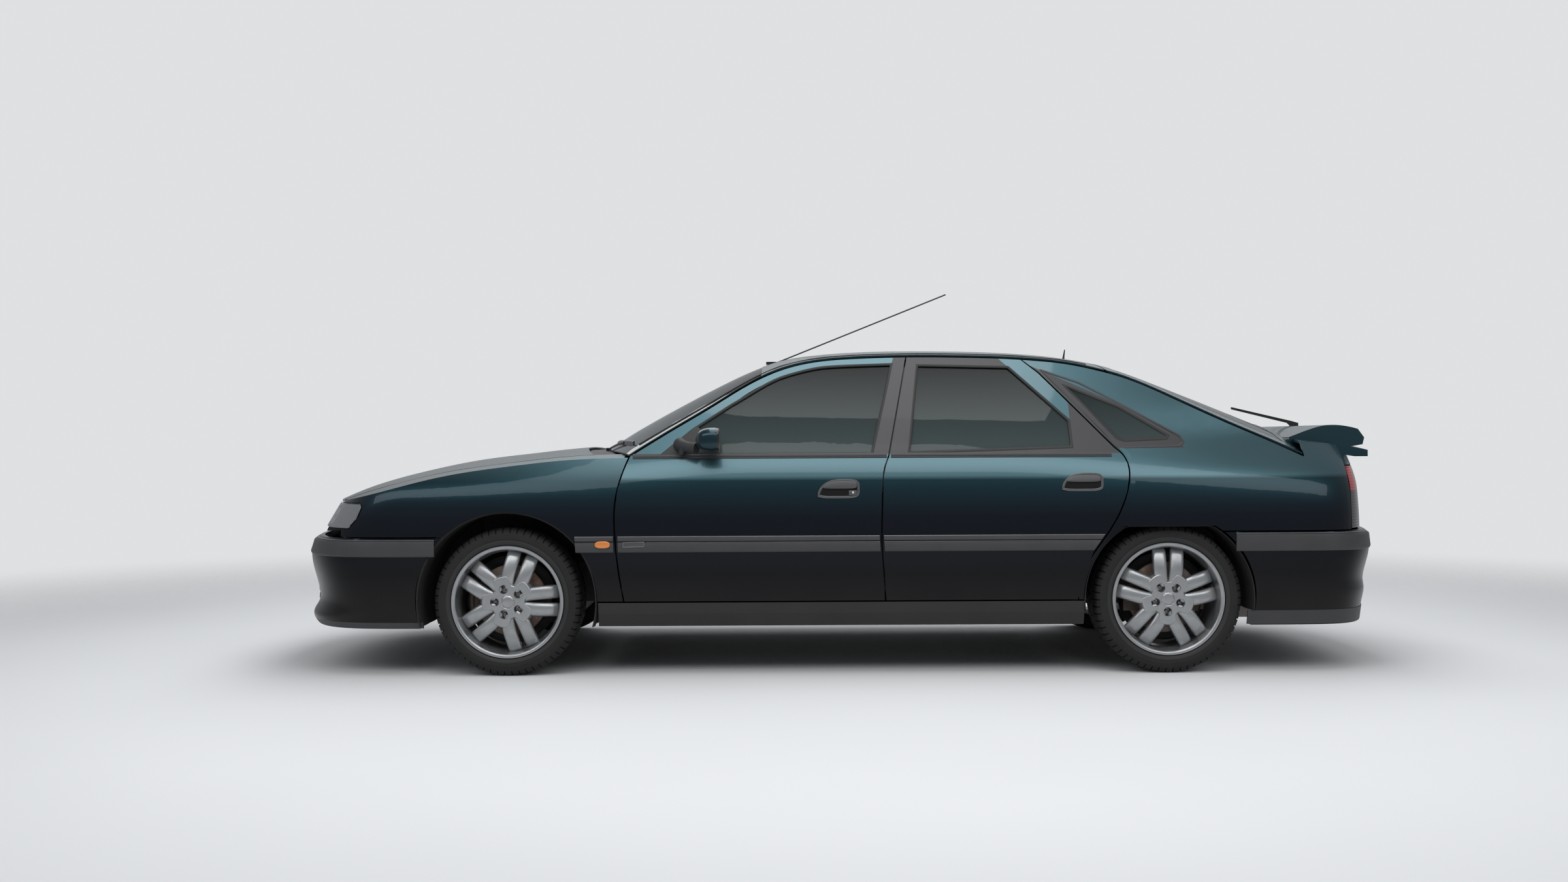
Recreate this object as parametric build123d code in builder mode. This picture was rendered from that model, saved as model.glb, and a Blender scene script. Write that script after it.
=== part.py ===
from build123d import *

# A five-door executive hatchback, modelled as an assembly of its real panels and running gear.
# Units are millimetres. The car stands on z = 0 and faces -X, with its left side at -Y and the
# origin on the ground at the middle of its length and width.
import os
from math import cos, radians, sin, sqrt

os.makedirs("parts", exist_ok=True)

# ---------------------------------------------------------------- driving dimensions
LENGTH = 4734  # over the bumpers
WHEELBASE = 2767
FRONT_AXLE_X = -1394
REAR_AXLE_X = FRONT_AXLE_X + WHEELBASE
HALF_TRACK = 750
TYRE_RADIUS = 310
TYRE_WIDTH = 225
RIM_RADIUS = 236  # over the rim flanges
HUB_Z = TYRE_RADIUS

BODY_HALF = 900  # half width at the widest line of the doors
WIDEST_Z = 600
SHOULDER_Z = 800  # where the door starts to roll in towards the glass
BELT_Z = 915
SILL_TOP_Z = 309
SKIRT_BOTTOM_Z = 206
BARREL_X = 1500  # the sides run straight to here, both ways
NOSE_POWER = 6
TAIL_POWER = 8

SHUT_GAP = 6.5  # between a moving panel and its neighbour
SKIN = 5  # outer sheet of wings, doors and lids, with its hem
DOOR_THICK = 85  # below the belt
FRAME_THICK = 42  # round the windows
DOOR_STEP = 22  # the inner door is this much smaller than its skin, all round
LID_THICK = 26  # bonnet, roof and tailgate
LID_STEP = 70  # the inner lid is this much narrower than its skin, each side
RING_WALL = 50
RAIL_WALL = 54
PILLAR = 45  # how far the ring shows inside a shut line
GLASS_INSET = 9
GLASS_THICK = 5
FIT_GAP = 0.8  # between two curved sheets that lie on each other
SEAT_GAP = 0.3  # where one fixed piece is seated on another
RUNNING_GAP = 0.3  # between a pin or stub and its bore

FRONT_ARCH_R = 380
REAR_ARCH_R = 360
REAR_ARCH_TOP_Z = 618
BUMPER_TOP_F = 583
BUMPER_TOP_R = 594
BUMPER_BOTTOM = 200
BUMPER_WALL = 28
LAMP_TOP_Z = 728
BEAM_Z = (440, 508)  # foot and top of the bumper beams
CRASH_BOX_X = 2285  # the ends of the rails behind the bumper beams
HINGE_BACK = 60  # door hinge axis behind the leading edge
HINGE_IN = 15  # and inboard of the widest skin
PIN_R = 7
STUB_R = 30

HALF_GAP = SHUT_GAP / 2
HALF_LENGTH = LENGTH / 2
FULL_REACH = HALF_LENGTH - BARREL_X


# ---------------------------------------------------------------- body surface, as formulas
def table(x, knots):
    """Smooth monotone curve through a few (x, value) knots."""
    if x <= knots[0][0]:
        return knots[0][1]
    if x >= knots[-1][0]:
        return knots[-1][1]
    count = len(knots)
    slopes = [
        (knots[i + 1][1] - knots[i][1]) / (knots[i + 1][0] - knots[i][0])
        for i in range(count - 1)
    ]
    tangents = [slopes[0]]
    for i in range(1, count - 1):
        before, after = slopes[i - 1], slopes[i]
        harmonic = 2 * before * after / (before + after) if before * after > 0 else 0
        tangents.append(harmonic)
    tangents.append(slopes[-1])
    i = max(k for k in range(count - 1) if knots[k][0] <= x)
    span = knots[i + 1][0] - knots[i][0]
    u = (x - knots[i][0]) / span
    return (
        knots[i][1] * (1 + 2 * u) * (1 - u) ** 2
        + knots[i + 1][1] * u * u * (3 - 2 * u)
        + span * tangents[i] * u * (1 - u) ** 2
        + span * tangents[i + 1] * u * u * (u - 1)
    )


def smooth(u):
    """Smooth step from 0 to 1."""
    u = min(1, max(0, u))
    return u * u * (3 - 2 * u)


def section_half(z):
    """Half width of the cabin section at height z: tucked-in sill, full door, leaning glass."""
    if z < WIDEST_Z:
        return BODY_HALF - 2.8e-4 * (WIDEST_Z - z) ** 2
    roll = 6e-6 * max(0, min(z, BELT_Z) - SHOULDER_Z) ** 3
    side = BODY_HALF - 4.2e-4 * (min(z, BELT_Z) - WIDEST_Z) ** 2 - roll
    above = max(0, z - BELT_Z)
    return side - 0.46 * above - 1e-4 * above**2


def plan_taper(x, z):
    """How far the cabin draws in towards the windscreen and the tail, above the shoulder."""
    front = 6e-5 * max(0, -300 - x) ** 2
    rear = 5e-5 * max(0, x - 600) ** 2
    return (front + rear) * smooth((z - 760) / 240)


NOSE_REACH = [(583, 817), (624, 791), (730, 723), (770, 696), (900, 690)]
TAIL_REACH = [(600, 820), (690, 817), (950, 795), (1050, 770)]


def side_y(x, z):
    """Half width of the body at x and z, before the corners are rounded off."""
    return section_half(z) - plan_taper(x, z)


def corner(x, z, inset=0):
    """Share of the half width that is left at x, where the nose and the tail round off."""
    if x < 0:
        t, power = (-x - BARREL_X) / (table(z, NOSE_REACH) - inset), NOSE_POWER
    else:
        t, power = (x - BARREL_X) / (table(z, TAIL_REACH) - inset), TAIL_POWER
    return sqrt(max(0, 1 - max(0, t) ** power))


BONNET_LINE = [
    (-2340, 690),
    (-2250, 726),
    (-2180, 762),
    (-2072, 800),
    (-1917, 843),
    (-1763, 877),
    (-1608, 904),
    (-1454, 922),
    (-1299, 939),
    (-1130, 955),
    (-900, 963),
    (400, 965),
    (1500, 1000),
    (1900, 1012),
    (2213, 980),
    (2340, 950),
]
BONNET_CROWN = [(-2300, 1.15e-4), (-1900, 9e-5), (-1300, 7.4e-5), (2300, 8e-5)]
ROOF_LINE = [
    (-1160, 870),
    (-1046, 940),
    (-908, 1033),
    (-754, 1119),
    (-601, 1200),
    (-447, 1276),
    (-324, 1327),
    (-233, 1355),
    (-48, 1380),
    (137, 1390),
    (340, 1393),
    (691, 1386),
    (950, 1367),
    (1153, 1337),
    (1246, 1315),
    (1431, 1250),
    (1616, 1179),
    (1800, 1104),
    (1985, 1029),
    (2120, 972),
]
ROOF_CROWN = [
    (-1160, 1.75e-4),
    (-601, 1.8e-4),
    (-300, 1.4e-4),
    (-50, 1.1e-4),
    (900, 1.1e-4),
    (1250, 1.5e-4),
    (1700, 2e-4),
    (2120, 2e-4),
]
HALF_SPREAD = 960  # the top surfaces are made this wide, each side
FIT = 0.5  # how closely the surfaces follow their formulas
DEEP = 1500


# ---------------------------------------------------------------- reference solids
def steps(first, last, count):
    """Evenly spaced values, both ends included."""
    return [first + (last - first) * i / (count - 1) for i in range(count)]


def fitted(grid):
    """One smooth surface through a grid of points."""
    return Face.make_surface_from_array_of_points(grid, tol=FIT, min_deg=3)


def side_layer(x0, x1, z0, z1, thickness):
    """A sheet of the left side of the body, from its outer face inwards."""
    xs = steps(x0, x1, max(6, round((x1 - x0) / 160)))
    zs = steps(z0, z1, max(6, round((z1 - z0) / 100)))
    face = fitted([[(x, -side_y(x, z) * corner(x, z), z) for x in xs] for z in zs])
    return extrude(face, amount=thickness, dir=(0, 1, 0), mode=Mode.PRIVATE)


def top_layer(line, crown, x0, x1, drop, thickness):
    """A sheet of a crowned top surface, lowered by drop."""
    xs = steps(x0, x1, max(6, round((x1 - x0) / 110)))
    ys = steps(-HALF_SPREAD, HALF_SPREAD, 7)
    grid = [[(x, y, table(x, line) - drop - table(x, crown) * y**2) for y in ys] for x in xs]
    face = fitted(grid)
    return extrude(face, amount=thickness, dir=(0, 0, -1), mode=Mode.PRIVATE)


def deck_layer(x0, x1, drop, thickness):
    """A sheet of the bonnet, scuttle and tail surface."""
    return top_layer(BONNET_LINE, BONNET_CROWN, x0, x1, drop, thickness)


def roof_layer(x0, x1, drop, thickness):
    """A sheet of the windscreen, roof and rear screen surface."""
    return top_layer(ROOF_LINE, ROOF_CROWN, x0, x1, drop, thickness)


def end_block(reaches, z0, z1, inset, front):
    """The left half of the nose or the tail as a solid block, drawn in by inset."""
    way = -1 if front else 1
    power = NOSE_POWER if front else TAIL_POWER
    grid = []
    for z in steps(z0, z1, max(6, round((z1 - z0) / 40))):
        reach = table(z, reaches) - inset
        row = []
        for s in steps(0, 1, 9):
            t = 1 - s * s
            x = way * (BARREL_X + reach * t)
            row.append((x, -(side_y(x, z) - inset) * sqrt(1 - t**power), z))
        grid.append(row)
    whole = extrude(fitted(grid), amount=DEEP, dir=(0, 1, 0), mode=Mode.PRIVATE)
    return overlap(whole, block(-3000, 3000, -1000, 0, 0, 1500))


def shell(outer, inner):
    """What lies in one solid and outside another."""
    with BuildPart() as wall:
        add(outer)
        add(inner, mode=Mode.SUBTRACT)
    return wall.part


def union(*solids):
    """Several solids as one."""
    with BuildPart() as joined:
        for solid in solids:
            add(solid)
    return joined.part


def overlap(*solids):
    """What several solids share."""
    with BuildPart() as common:
        add(solids[0])
        for solid in solids[1:]:
            add(solid, mode=Mode.INTERSECT)
    return common.part


def block(x0, x1, y0, y1, z0, z1):
    """A plain box between two corners."""
    with BuildPart() as box:
        with Locations(((x0 + x1) / 2, (y0 + y1) / 2, (z0 + z1) / 2)):
            Box(x1 - x0, y1 - y0, z1 - z0)
    return box.part


def outline_face(plane, draw, grow=0):
    """The face inside an outline drawn by a function, grown by a margin with its curves redrawn."""
    with BuildSketch(plane) as sketch:
        with BuildLine():
            draw()
        make_face()
        if grow:
            offset(amount=grow, kind=Kind.ARC)
    face = sketch.sketch.face()
    edges = []
    for edge in face.outer_wire().edges():
        if edge.geom_type in (GeomType.LINE, GeomType.CIRCLE):
            edges.append(edge)
        else:
            points = [edge.position_at(t) for t in steps(0, 1, 9)]
            edges.append(Edge.make_spline(points, tangents=[edge.tangent_at(0), edge.tangent_at(1)]))
    return Face(Wire(edges))


def side_prism(draw, grow=0, near=350, far=1000):
    """An outline in side view carried across the left side of the car."""
    face = outline_face(Plane.XZ.offset(near), draw, grow)
    return extrude(face, amount=far - near, dir=(0, -1, 0), mode=Mode.PRIVATE)


def pin(x, y0, y1, z, radius):
    """A round pin across the car."""
    with BuildPart() as rod:
        with Locations((x, (y0 + y1) / 2, z)):
            Cylinder(radius, abs(y1 - y0), rotation=(90, 0, 0))
    return rod.part


def both(left):
    """A left-hand solid together with its right-hand twin."""
    with BuildPart() as pair:
        add(left)
        add(left.mirror(Plane.XZ))
    return pair.part


def carrier(outer, inner, z0, z1, half):
    """A curved sheet between two end blocks, from side to side of the car."""
    return both(overlap(shell(outer, inner), block(-3000, 3000, -half, 0, z0, z1)))


def beam(reaches, front):
    """The curved bumper beam that a bumper cover lies on."""
    outer = end_block(reaches, BEAM_Z[0] - 20, BEAM_Z[1] + 32, BUMPER_WALL + 1, front)
    inner = end_block(reaches, BEAM_Z[0] - 40, BEAM_Z[1] + 52, BUMPER_WALL + 51, front)
    return carrier(outer, inner, *BEAM_Z, 620)


def gooseneck(points, width, y, eye_r, pin_r):
    """A hinge arm in side view from its eye round a dip to the panel, centred on y."""
    with BuildPart() as neck:
        with BuildSketch(Plane.XZ.offset(-y - width / 2)):
            with BuildLine():
                Polyline(*points)
            trace(line_width=12)
            with Locations(points[0]):
                Circle(eye_r)
        extrude(amount=width)
        add(pin(points[0][0], y - width, y + width, points[0][1], pin_r), mode=Mode.SUBTRACT)
    return neck.part


def placed(plane, solid):
    """A solid drawn in a plane's own frame, moved to that plane."""
    return solid.moved(plane.location)


def save(solid, name):
    """Label a finished piece and write it."""
    solid.label = name
    export_step(solid, f"parts/{name}.step")


def save_pair(left, name):
    """Write a left-hand piece and its right-hand twin."""
    save(left, f"{name}_left")
    save(left.mirror(Plane.XZ), f"{name}_right")


# ---------------------------------------------------------------- shut lines, in side view
B_LINE = [(188, SILL_TOP_Z), (180, 433), (172, 560), (176, 742), (184, 850), (205, 913)]
B_TOP = (309, 1400)
LEAD_LINE = [(-904, SILL_TOP_Z), (-925, 441), (-937, 560), (-935, 748), (-914, 832), (-878, 926)]
REAR_LINE = [(1158, 944), (1207, 870), (1202, 788), (1169, 689), (1112, 590), (1054, 508), (991, SILL_TOP_Z)]


def front_door_outline():
    Spline(*LEAD_LINE)
    Polyline(LEAD_LINE[-1], (-878, 1400), B_TOP, B_LINE[-1])
    Spline(*reversed(B_LINE))
    Line(B_LINE[0], LEAD_LINE[0])


def rear_door_outline():
    Spline(*B_LINE)
    Polyline(B_LINE[-1], B_TOP, (705, 1400), (863, 1266), REAR_LINE[0])
    Spline(*REAR_LINE)
    Line(REAR_LINE[-1], B_LINE[0])


def front_window():
    Polyline((136, 924), (-606, 924), (-606, 1036), (-452, 1136))
    Spline((-452, 1136), (-229, 1257), (-40, 1298), (232, 1308))
    Line((232, 1308), (136, 924))


def rear_window():
    Polyline((291, 928), (342, 1303), (733, 1293), (974, 1061), (977, 948), (291, 928))


def quarter_window():
    Polyline((968, 1212), (1192, 1118), (1392, 994), (1383, 982), (1200, 974), (1172, 986), (968, 1212))


# ---------------------------------------------------------------- doors
BELOW_SKIN = SKIN + SHUT_GAP
OUTER_Y = 1000
ARM_HALF = 20
POCKET_HALF = 26
PIN_HALF = 40
HINGE_Y = BODY_HALF - HINGE_IN
FRONT_HINGE_X = LEAD_LINE[2][0] + HALF_GAP + HINGE_BACK
REAR_HINGE_X = B_LINE[2][0] + HALF_GAP + HINGE_BACK
HINGE_HEIGHTS = (430, 760)
DOOR_BODY_TOP = BELT_Z - 8
FRAME_DROP = BELOW_SKIN + 12
DOOR_X = (-1000, 1300)
DOOR_Z = (280, 1390)


def door_layer(thickness):
    return side_layer(*DOOR_X, *DOOR_Z, thickness)


below_roof = roof_layer(-1000, 1300, BELOW_SKIN, DEEP)
below_frames = roof_layer(-1000, 1300, FRAME_DROP, DEEP)
door_skin = door_layer(SKIN)
door_frame = overlap(door_layer(FRAME_THICK), below_frames)
door_body = overlap(door_layer(DOOR_THICK), block(-1000, 1300, -OUTER_Y, -400, SILL_TOP_Z, DOOR_BODY_TOP))
door_glass = door_layer(GLASS_THICK).moved(Location((0, GLASS_INSET, 0)))


def door(outline, window, hinge_x):
    """A left door: thin skin with a hem, a smaller deep body, window frame and hinge pockets."""
    inner = side_prism(outline, -HALF_GAP - DOOR_STEP)
    with BuildPart() as panel:
        add(overlap(door_skin, side_prism(outline, -HALF_GAP), below_roof))
        add(overlap(door_body, inner))
        add(overlap(door_frame, inner))
        add(side_prism(window), mode=Mode.SUBTRACT)
        for z in HINGE_HEIGHTS:
            with Locations((hinge_x, -HINGE_Y, z)):
                Cylinder(PIN_R + RUNNING_GAP, 2 * (PIN_HALF + 1), mode=Mode.SUBTRACT)
            y0, y1 = -HINGE_Y - 8, DOOR_THICK + 10 - HINGE_Y
            pocket = block(hinge_x - 90, hinge_x + 13, y0, y1, z - POCKET_HALF, z + POCKET_HALF)
            add(pocket, mode=Mode.SUBTRACT)
    return panel.part


front_door = door(front_door_outline, front_window, FRONT_HINGE_X)
rear_door = door(rear_door_outline, rear_window, REAR_HINGE_X)
front_door_glass = overlap(door_glass, side_prism(front_window, -SEAT_GAP))
rear_door_glass = overlap(door_glass, side_prism(rear_window, -SEAT_GAP))
save_pair(front_door, "front_door")
save_pair(rear_door, "rear_door")
save_pair(front_door_glass, "front_door_glass")
save_pair(rear_door_glass, "rear_door_glass")


# ---------------------------------------------------------------- body sides
JAMB = 22
JAMB_BACK = 3  # the skin stands this far proud of the jamb at the shut line
JAMB_Y = 742
TAIL_SHUT_X = 2150
QUARTER_SKIN = 12
CORNER_TUCK = 1.5  # the rear corner panel lies this far inside the side panel it is joined to
ARCH_TUNNEL = 9  # lip round the rear wheel opening
TYRE_CLEAR_Y = HALF_TRACK + TYRE_WIDTH / 2 + 8
ROOF_FRONT_X = -330
ROOF_REAR_X = 1150
BELOW_GLASS = 6
BELOW_LID = LID_THICK + SHUT_GAP


def rear_arch_outline(grow):
    """The flat-topped opening over the rear wheel, in side view."""
    radius = REAR_ARCH_R + grow
    top = REAR_ARCH_TOP_Z + grow
    half = sqrt(radius**2 - (top - HUB_Z) ** 2)
    foot = HUB_Z - 160
    reach = sqrt(radius**2 - 160**2)
    x = REAR_AXLE_X
    Line((x + half, top), (x - half, top))
    ThreePointArc((x - half, top), (x - radius, HUB_Z), (x - reach, foot))
    Line((x - reach, foot), (x + reach, foot))
    ThreePointArc((x + reach, foot), (x + radius, HUB_Z), (x + half, top))


def quarter_outline():
    Spline(*reversed(REAR_LINE))
    Polyline(
        REAR_LINE[0],
        (863, 1266),
        (705, 1395),
        (TAIL_SHUT_X, 1395),
        (TAIL_SHUT_X, BUMPER_TOP_R),
        (1590, BUMPER_TOP_R),
        (1590, SILL_TOP_Z),
        REAR_LINE[-1],
    )


quarter_prism = side_prism(quarter_outline, -HALF_GAP)
quarter_sheet = side_layer(650, 2190, 300, 1398, QUARTER_SKIN)
rear_arch = side_prism(lambda: rear_arch_outline(0))
lip_prism = shell(side_prism(lambda: rear_arch_outline(ARCH_TUNNEL)), rear_arch)
jamb_prism = shell(
    side_prism(rear_door_outline, HALF_GAP + JAMB),
    side_prism(rear_door_outline, HALF_GAP + JAMB_BACK),
)
with BuildPart() as quarter:
    add(overlap(quarter_prism, roof_layer(640, 2105, BELOW_SKIN, DEEP), quarter_sheet))
    tail_end = block(1966, 2190, -1000, 0, 500, 1100)
    add(overlap(quarter_prism, tail_end, deck_layer(1500, 2300, SHUT_GAP, DEEP), quarter_sheet))
    add(side_prism(quarter_window), mode=Mode.SUBTRACT)
    deep_side = side_layer(950, 1350, 600, 1100, 160)
    add(overlap(jamb_prism, block(1020, 1300, -1000, -JAMB_Y, 640, 1050), deep_side))
    arch_side = side_layer(950, 1800, 300, 800, 160)
    add(overlap(lip_prism, block(1000, 1575, -1000, -TYRE_CLEAR_Y, 400, 700), arch_side))
    add(rear_arch, mode=Mode.SUBTRACT)


# ---------------------------------------------------------------- body ring behind the doors
RING_TOP_Z = 945
SCREEN_FOOT_X = -1040  # of the windscreen, on the middle line
SCREEN_CORNER_X = -885  # at the feet of the pillars
SILL_Y = 756
RAIL_FOOT = (775, 918)
RAIL_HEAD = (565, 1360)
RING_X = (-985, 1130)
TAIL_SHIFT = 70  # the rails step inwards behind the rear doors, where the sides draw in


def section_prism(points, x0, x1):
    """A cross-section in y and z carried along the car; y is given as distance from the middle."""
    with BuildPart() as prism:
        with BuildSketch(Plane(origin=(x0, 0, 0), x_dir=(0, 1, 0), z_dir=(1, 0, 0))):
            with BuildLine():
                Polyline(*[(-y, z) for y, z in points], close=True)
            make_face()
        extrude(amount=x1 - x0)
    return prism.part


lower_section = [
    (SILL_Y, SKIRT_BOTTOM_Z),
    (790, 400),
    (800, 600),
    (782, 760),
    (730, RING_TOP_Z),
    (730 - RING_WALL, RING_TOP_Z),
    (782 - RING_WALL, 760),
    (790 - RING_WALL, 600),
    (780 - RING_WALL, 400),
    (SILL_Y - RING_WALL, SKIRT_BOTTOM_Z),
]
rail_section = [
    RAIL_FOOT,
    RAIL_HEAD,
    (RAIL_HEAD[0] - RAIL_WALL, RAIL_HEAD[1]),
    (RAIL_FOOT[0] - RAIL_WALL - 20, RAIL_FOOT[1]),
]
with BuildPart() as side_frame:
    add(section_prism(lower_section, *RING_X))
    add(block(1120, 1700, -JAMB_Y + SEAT_GAP, -JAMB_Y + RING_WALL, 640, RING_TOP_Z))
    for outline in (front_door_outline, rear_door_outline):
        add(side_prism(outline, -HALF_GAP - PILLAR), mode=Mode.SUBTRACT)
    add(block(RING_X[0] - 1, SCREEN_CORNER_X, -1000, 0, 868, 1000), mode=Mode.SUBTRACT)
    add(side_prism(lambda: rear_arch_outline(0)), mode=Mode.SUBTRACT)
    tail_section = [(y - TAIL_SHIFT, z) for y, z in rail_section]
    front_rail = section_prism(rail_section, SCREEN_CORNER_X - 12, 1100)
    rails = union(front_rail, section_prism(tail_section, 1080, 1700))
    for window in (front_window, rear_window, quarter_window):
        rails = shell(rails, side_prism(window, 0))
    for drop, x0, x1 in (
        (BELOW_GLASS + FIT_GAP, -930, ROOF_FRONT_X),
        (LID_THICK + FIT_GAP, ROOF_FRONT_X, ROOF_REAR_X),
        (BELOW_LID, ROOF_REAR_X, 1700),
    ):
        span = overlap(rails, block(x0, x1, -1000, 0, 900, 1400))
        add(overlap(span, roof_layer(-1000, 1800, drop, DEEP)))
    for hinge_x in (FRONT_HINGE_X, REAR_HINGE_X):
        for z in HINGE_HEIGHTS:
            add(block(hinge_x - 8, hinge_x + 8, -HINGE_Y, -760, z - ARM_HALF, z + ARM_HALF))
            add(block(hinge_x - 50, hinge_x + 8, -HINGE_Y + 86, -750, z - ARM_HALF, z + ARM_HALF))
            with Locations((hinge_x, -HINGE_Y, z)):
                Cylinder(PIN_R, 2 * PIN_HALF)
save_pair(side_frame.part, "side_frame")


# ---------------------------------------------------------------- roof, screens and lids
def top_prism(draw, grow=0, z0=100, z1=1500):
    """An outline in plan carried upwards."""
    face = outline_face(Plane.XY.offset(z0), draw, grow)
    return extrude(face, amount=z1 - z0, dir=(0, 0, 1), mode=Mode.PRIVATE)


def edge_y(x):
    """Half width at the crease between the body side and the roof surface."""
    z = 1200
    for _ in range(30):
        y = side_y(x, z)
        z = 0.5 * z + 0.5 * (table(x, ROOF_LINE) - table(x, ROOF_CROWN) * y**2)
    return side_y(x, z)


def strip_outline(x0, x1, inset):
    """Plan of a full-width roof panel between two stations, as wide as the crease allows."""
    left = [(x, inset - edge_y(x)) for x in steps(x0, x1, 7)]
    right = [(x, -y) for x, y in reversed(left)]
    Spline(*left)
    Line(left[-1], right[0])
    Spline(*right)
    Line(right[-1], left[0])


HATCH_GAP = 8.5
HATCH_X = ROOF_REAR_X + HATCH_GAP
HATCH_TAIL_X = 1960
HATCH_HINGE = (ROOF_REAR_X - 40, table(HATCH_X, ROOF_LINE) - 16)
HATCH_HINGE_Y = 110
HATCH_HINGE_WIDTH = 14
HATCH_PIN_R = 4
HATCH_EYE_R = 8
with BuildPart() as roof:
    skin_plan = top_prism(lambda: strip_outline(ROOF_FRONT_X, ROOF_REAR_X, 1))
    inner_plan = top_prism(lambda: strip_outline(ROOF_FRONT_X, ROOF_REAR_X - 80, LID_STEP))
    add(overlap(skin_plan, roof_layer(-500, 1300, 0, SKIN)))
    add(overlap(inner_plan, roof_layer(-500, 1300, 0, LID_THICK)))
    for side in (-1, 1):
        cheek = side * (HATCH_HINGE_Y + HATCH_HINGE_WIDTH / 2 + 1)
        y0, y1 = sorted((cheek, cheek + side * 10))
        hinge_x, hinge_z = HATCH_HINGE
        add(block(ROOF_REAR_X - 90, hinge_x + 6, y0, y1, hinge_z - 8, hinge_z + 9))
        add(pin(hinge_x, cheek, side * (HATCH_HINGE_Y - HATCH_HINGE_WIDTH / 2), hinge_z, HATCH_PIN_R))
save(roof.part, "roof")


def screen_foot(x_middle, x_corner, half):
    """The bowed lower edge of the windscreen, or a line beside it, from right to left."""
    Spline((x_corner, half), ((x_middle * 3 + x_corner) / 4, half / 2), (x_middle, 0),
           ((x_middle * 3 + x_corner) / 4, -half / 2), (x_corner, -half))


def windscreen_outline():
    inset = 8
    left = [(x, inset - edge_y(x)) for x in steps(SCREEN_CORNER_X, ROOF_FRONT_X - 1, 7)]
    right = [(x, -y) for x, y in reversed(left)]
    Spline(*left)
    Line(left[-1], right[0])
    Spline(*right)
    screen_foot(SCREEN_FOOT_X, SCREEN_CORNER_X, right[-1][1])


with BuildPart() as windscreen:
    add(overlap(top_prism(windscreen_outline), roof_layer(-1150, -200, 1, GLASS_THICK)))
save(windscreen.part, "windscreen")

quarter_glass = overlap(
    side_prism(quarter_window, -SEAT_GAP),
    side_layer(900, 1500, 900, 1300, GLASS_THICK).moved(Location((0, 3, 0))),
)
save_pair(quarter_glass, "quarter_glass")


# ---------------------------------------------------------------- front wings and bonnet
BONNET_SIDE_Y = 700
BONNET_HINGE = (-1035, 878)
BONNET_HINGE_Y = 580
HINGE_WIDTH = 16
HINGE_PIN_R = 5
EYE_R = 11
WING_SKIN = 8
BONNET_REAR_X = -1130
SCUTTLE_DROP = 14
SCUTTLE_THICK = 8


def lamp_outline():
    rear_edge = [(-2064, 619), (-2024, 659), (-2002, 708), (-2010, LAMP_TOP_Z)]
    Polyline((-2400, 616), *rear_edge, (-2400, LAMP_TOP_Z), close=True)


def wing_outline():
    Spline(*LEAD_LINE)
    Polyline(
        LEAD_LINE[-1],
        (-878, 1000),
        (-2100, 1000),
        (-2100, BUMPER_TOP_F),
        (-1640, BUMPER_TOP_F),
        (FRONT_AXLE_X, SILL_TOP_Z),
        LEAD_LINE[0],
    )


def front_arch(grow=0, near=350, far=1000):
    """The round opening over a front wheel."""
    with BuildPart() as opening:
        with BuildSketch(Plane.XZ.offset(near)):
            with Locations((FRONT_AXLE_X, HUB_Z)):
                Circle(FRONT_ARCH_R + grow)
        extrude(amount=far - near)
    return opening.part


def bonnet_outline():
    """Plan of the bonnet: nose curve, straight sides, and a rear edge bowed towards the nose."""
    y1 = BONNET_SIDE_Y
    reach = table(LAMP_TOP_Z, NOSE_REACH)
    half = side_y(-2100, LAMP_TOP_Z)
    nose = [
        (-BARREL_X - reach * (1 - (y / half) ** 2) ** (1 / NOSE_POWER), y) for y in steps(-y1, y1, 9)
    ]
    Spline(*nose)
    Line(nose[-1], (BONNET_REAR_X + 85, y1))
    Spline((BONNET_REAR_X + 85, y1), (BONNET_REAR_X, 0), (BONNET_REAR_X + 85, -y1))
    Line((BONNET_REAR_X + 85, -y1), nose[0])


wing_prism = side_prism(wing_outline, -HALF_GAP)
with BuildPart() as wing:
    wing_side = side_layer(-2160, -860, 300, 1000, WING_SKIN)
    add(overlap(wing_prism, deck_layer(-2200, -800, 0.5, DEEP), wing_side))
    shoulder = block(-2100, -905, -OUTER_Y, -BONNET_SIDE_Y - HALF_GAP, 500, 1100)
    add(overlap(shoulder, deck_layer(-2200, -800, 0.5, WING_SKIN), side_layer(-2160, -860, 300, 1000, 300)))
    add(front_arch(), mode=Mode.SUBTRACT)
    add(side_prism(lamp_outline, HALF_GAP), mode=Mode.SUBTRACT)
save_pair(wing.part, "front_wing")

with BuildPart() as bonnet:
    add(overlap(top_prism(bonnet_outline, -HALF_GAP), deck_layer(-2330, -950, 0, SKIN)))
    add(overlap(top_prism(bonnet_outline, -HALF_GAP - 40), deck_layer(-2330, -950, 0, LID_THICK)))
    hinge_x, hinge_z = BONNET_HINGE
    neck = [
        (hinge_x, hinge_z),
        (hinge_x, hinge_z - 28),
        (hinge_x - 60, hinge_z - 28),
        (hinge_x - 92, hinge_z + 24),
    ]
    for side in (-1, 1):
        add(gooseneck(neck, HINGE_WIDTH, side * BONNET_HINGE_Y, EYE_R, HINGE_PIN_R + RUNNING_GAP))
save(bonnet.part, "bonnet")


def scuttle_outline():
    y1 = BONNET_SIDE_Y - 16
    Spline((BONNET_REAR_X + 85, y1), (BONNET_REAR_X, 0), (BONNET_REAR_X + 85, -y1))
    Line((BONNET_REAR_X + 85, -y1), (SCREEN_CORNER_X - 28, -y1))
    Spline((SCREEN_CORNER_X - 28, -y1), (SCREEN_FOOT_X + 26, -y1 / 2), (SCREEN_FOOT_X - 7, 0),
           (SCREEN_FOOT_X + 26, y1 / 2), (SCREEN_CORNER_X - 28, y1))
    Line((SCREEN_CORNER_X - 28, y1), (BONNET_REAR_X + 85, y1))


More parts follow.
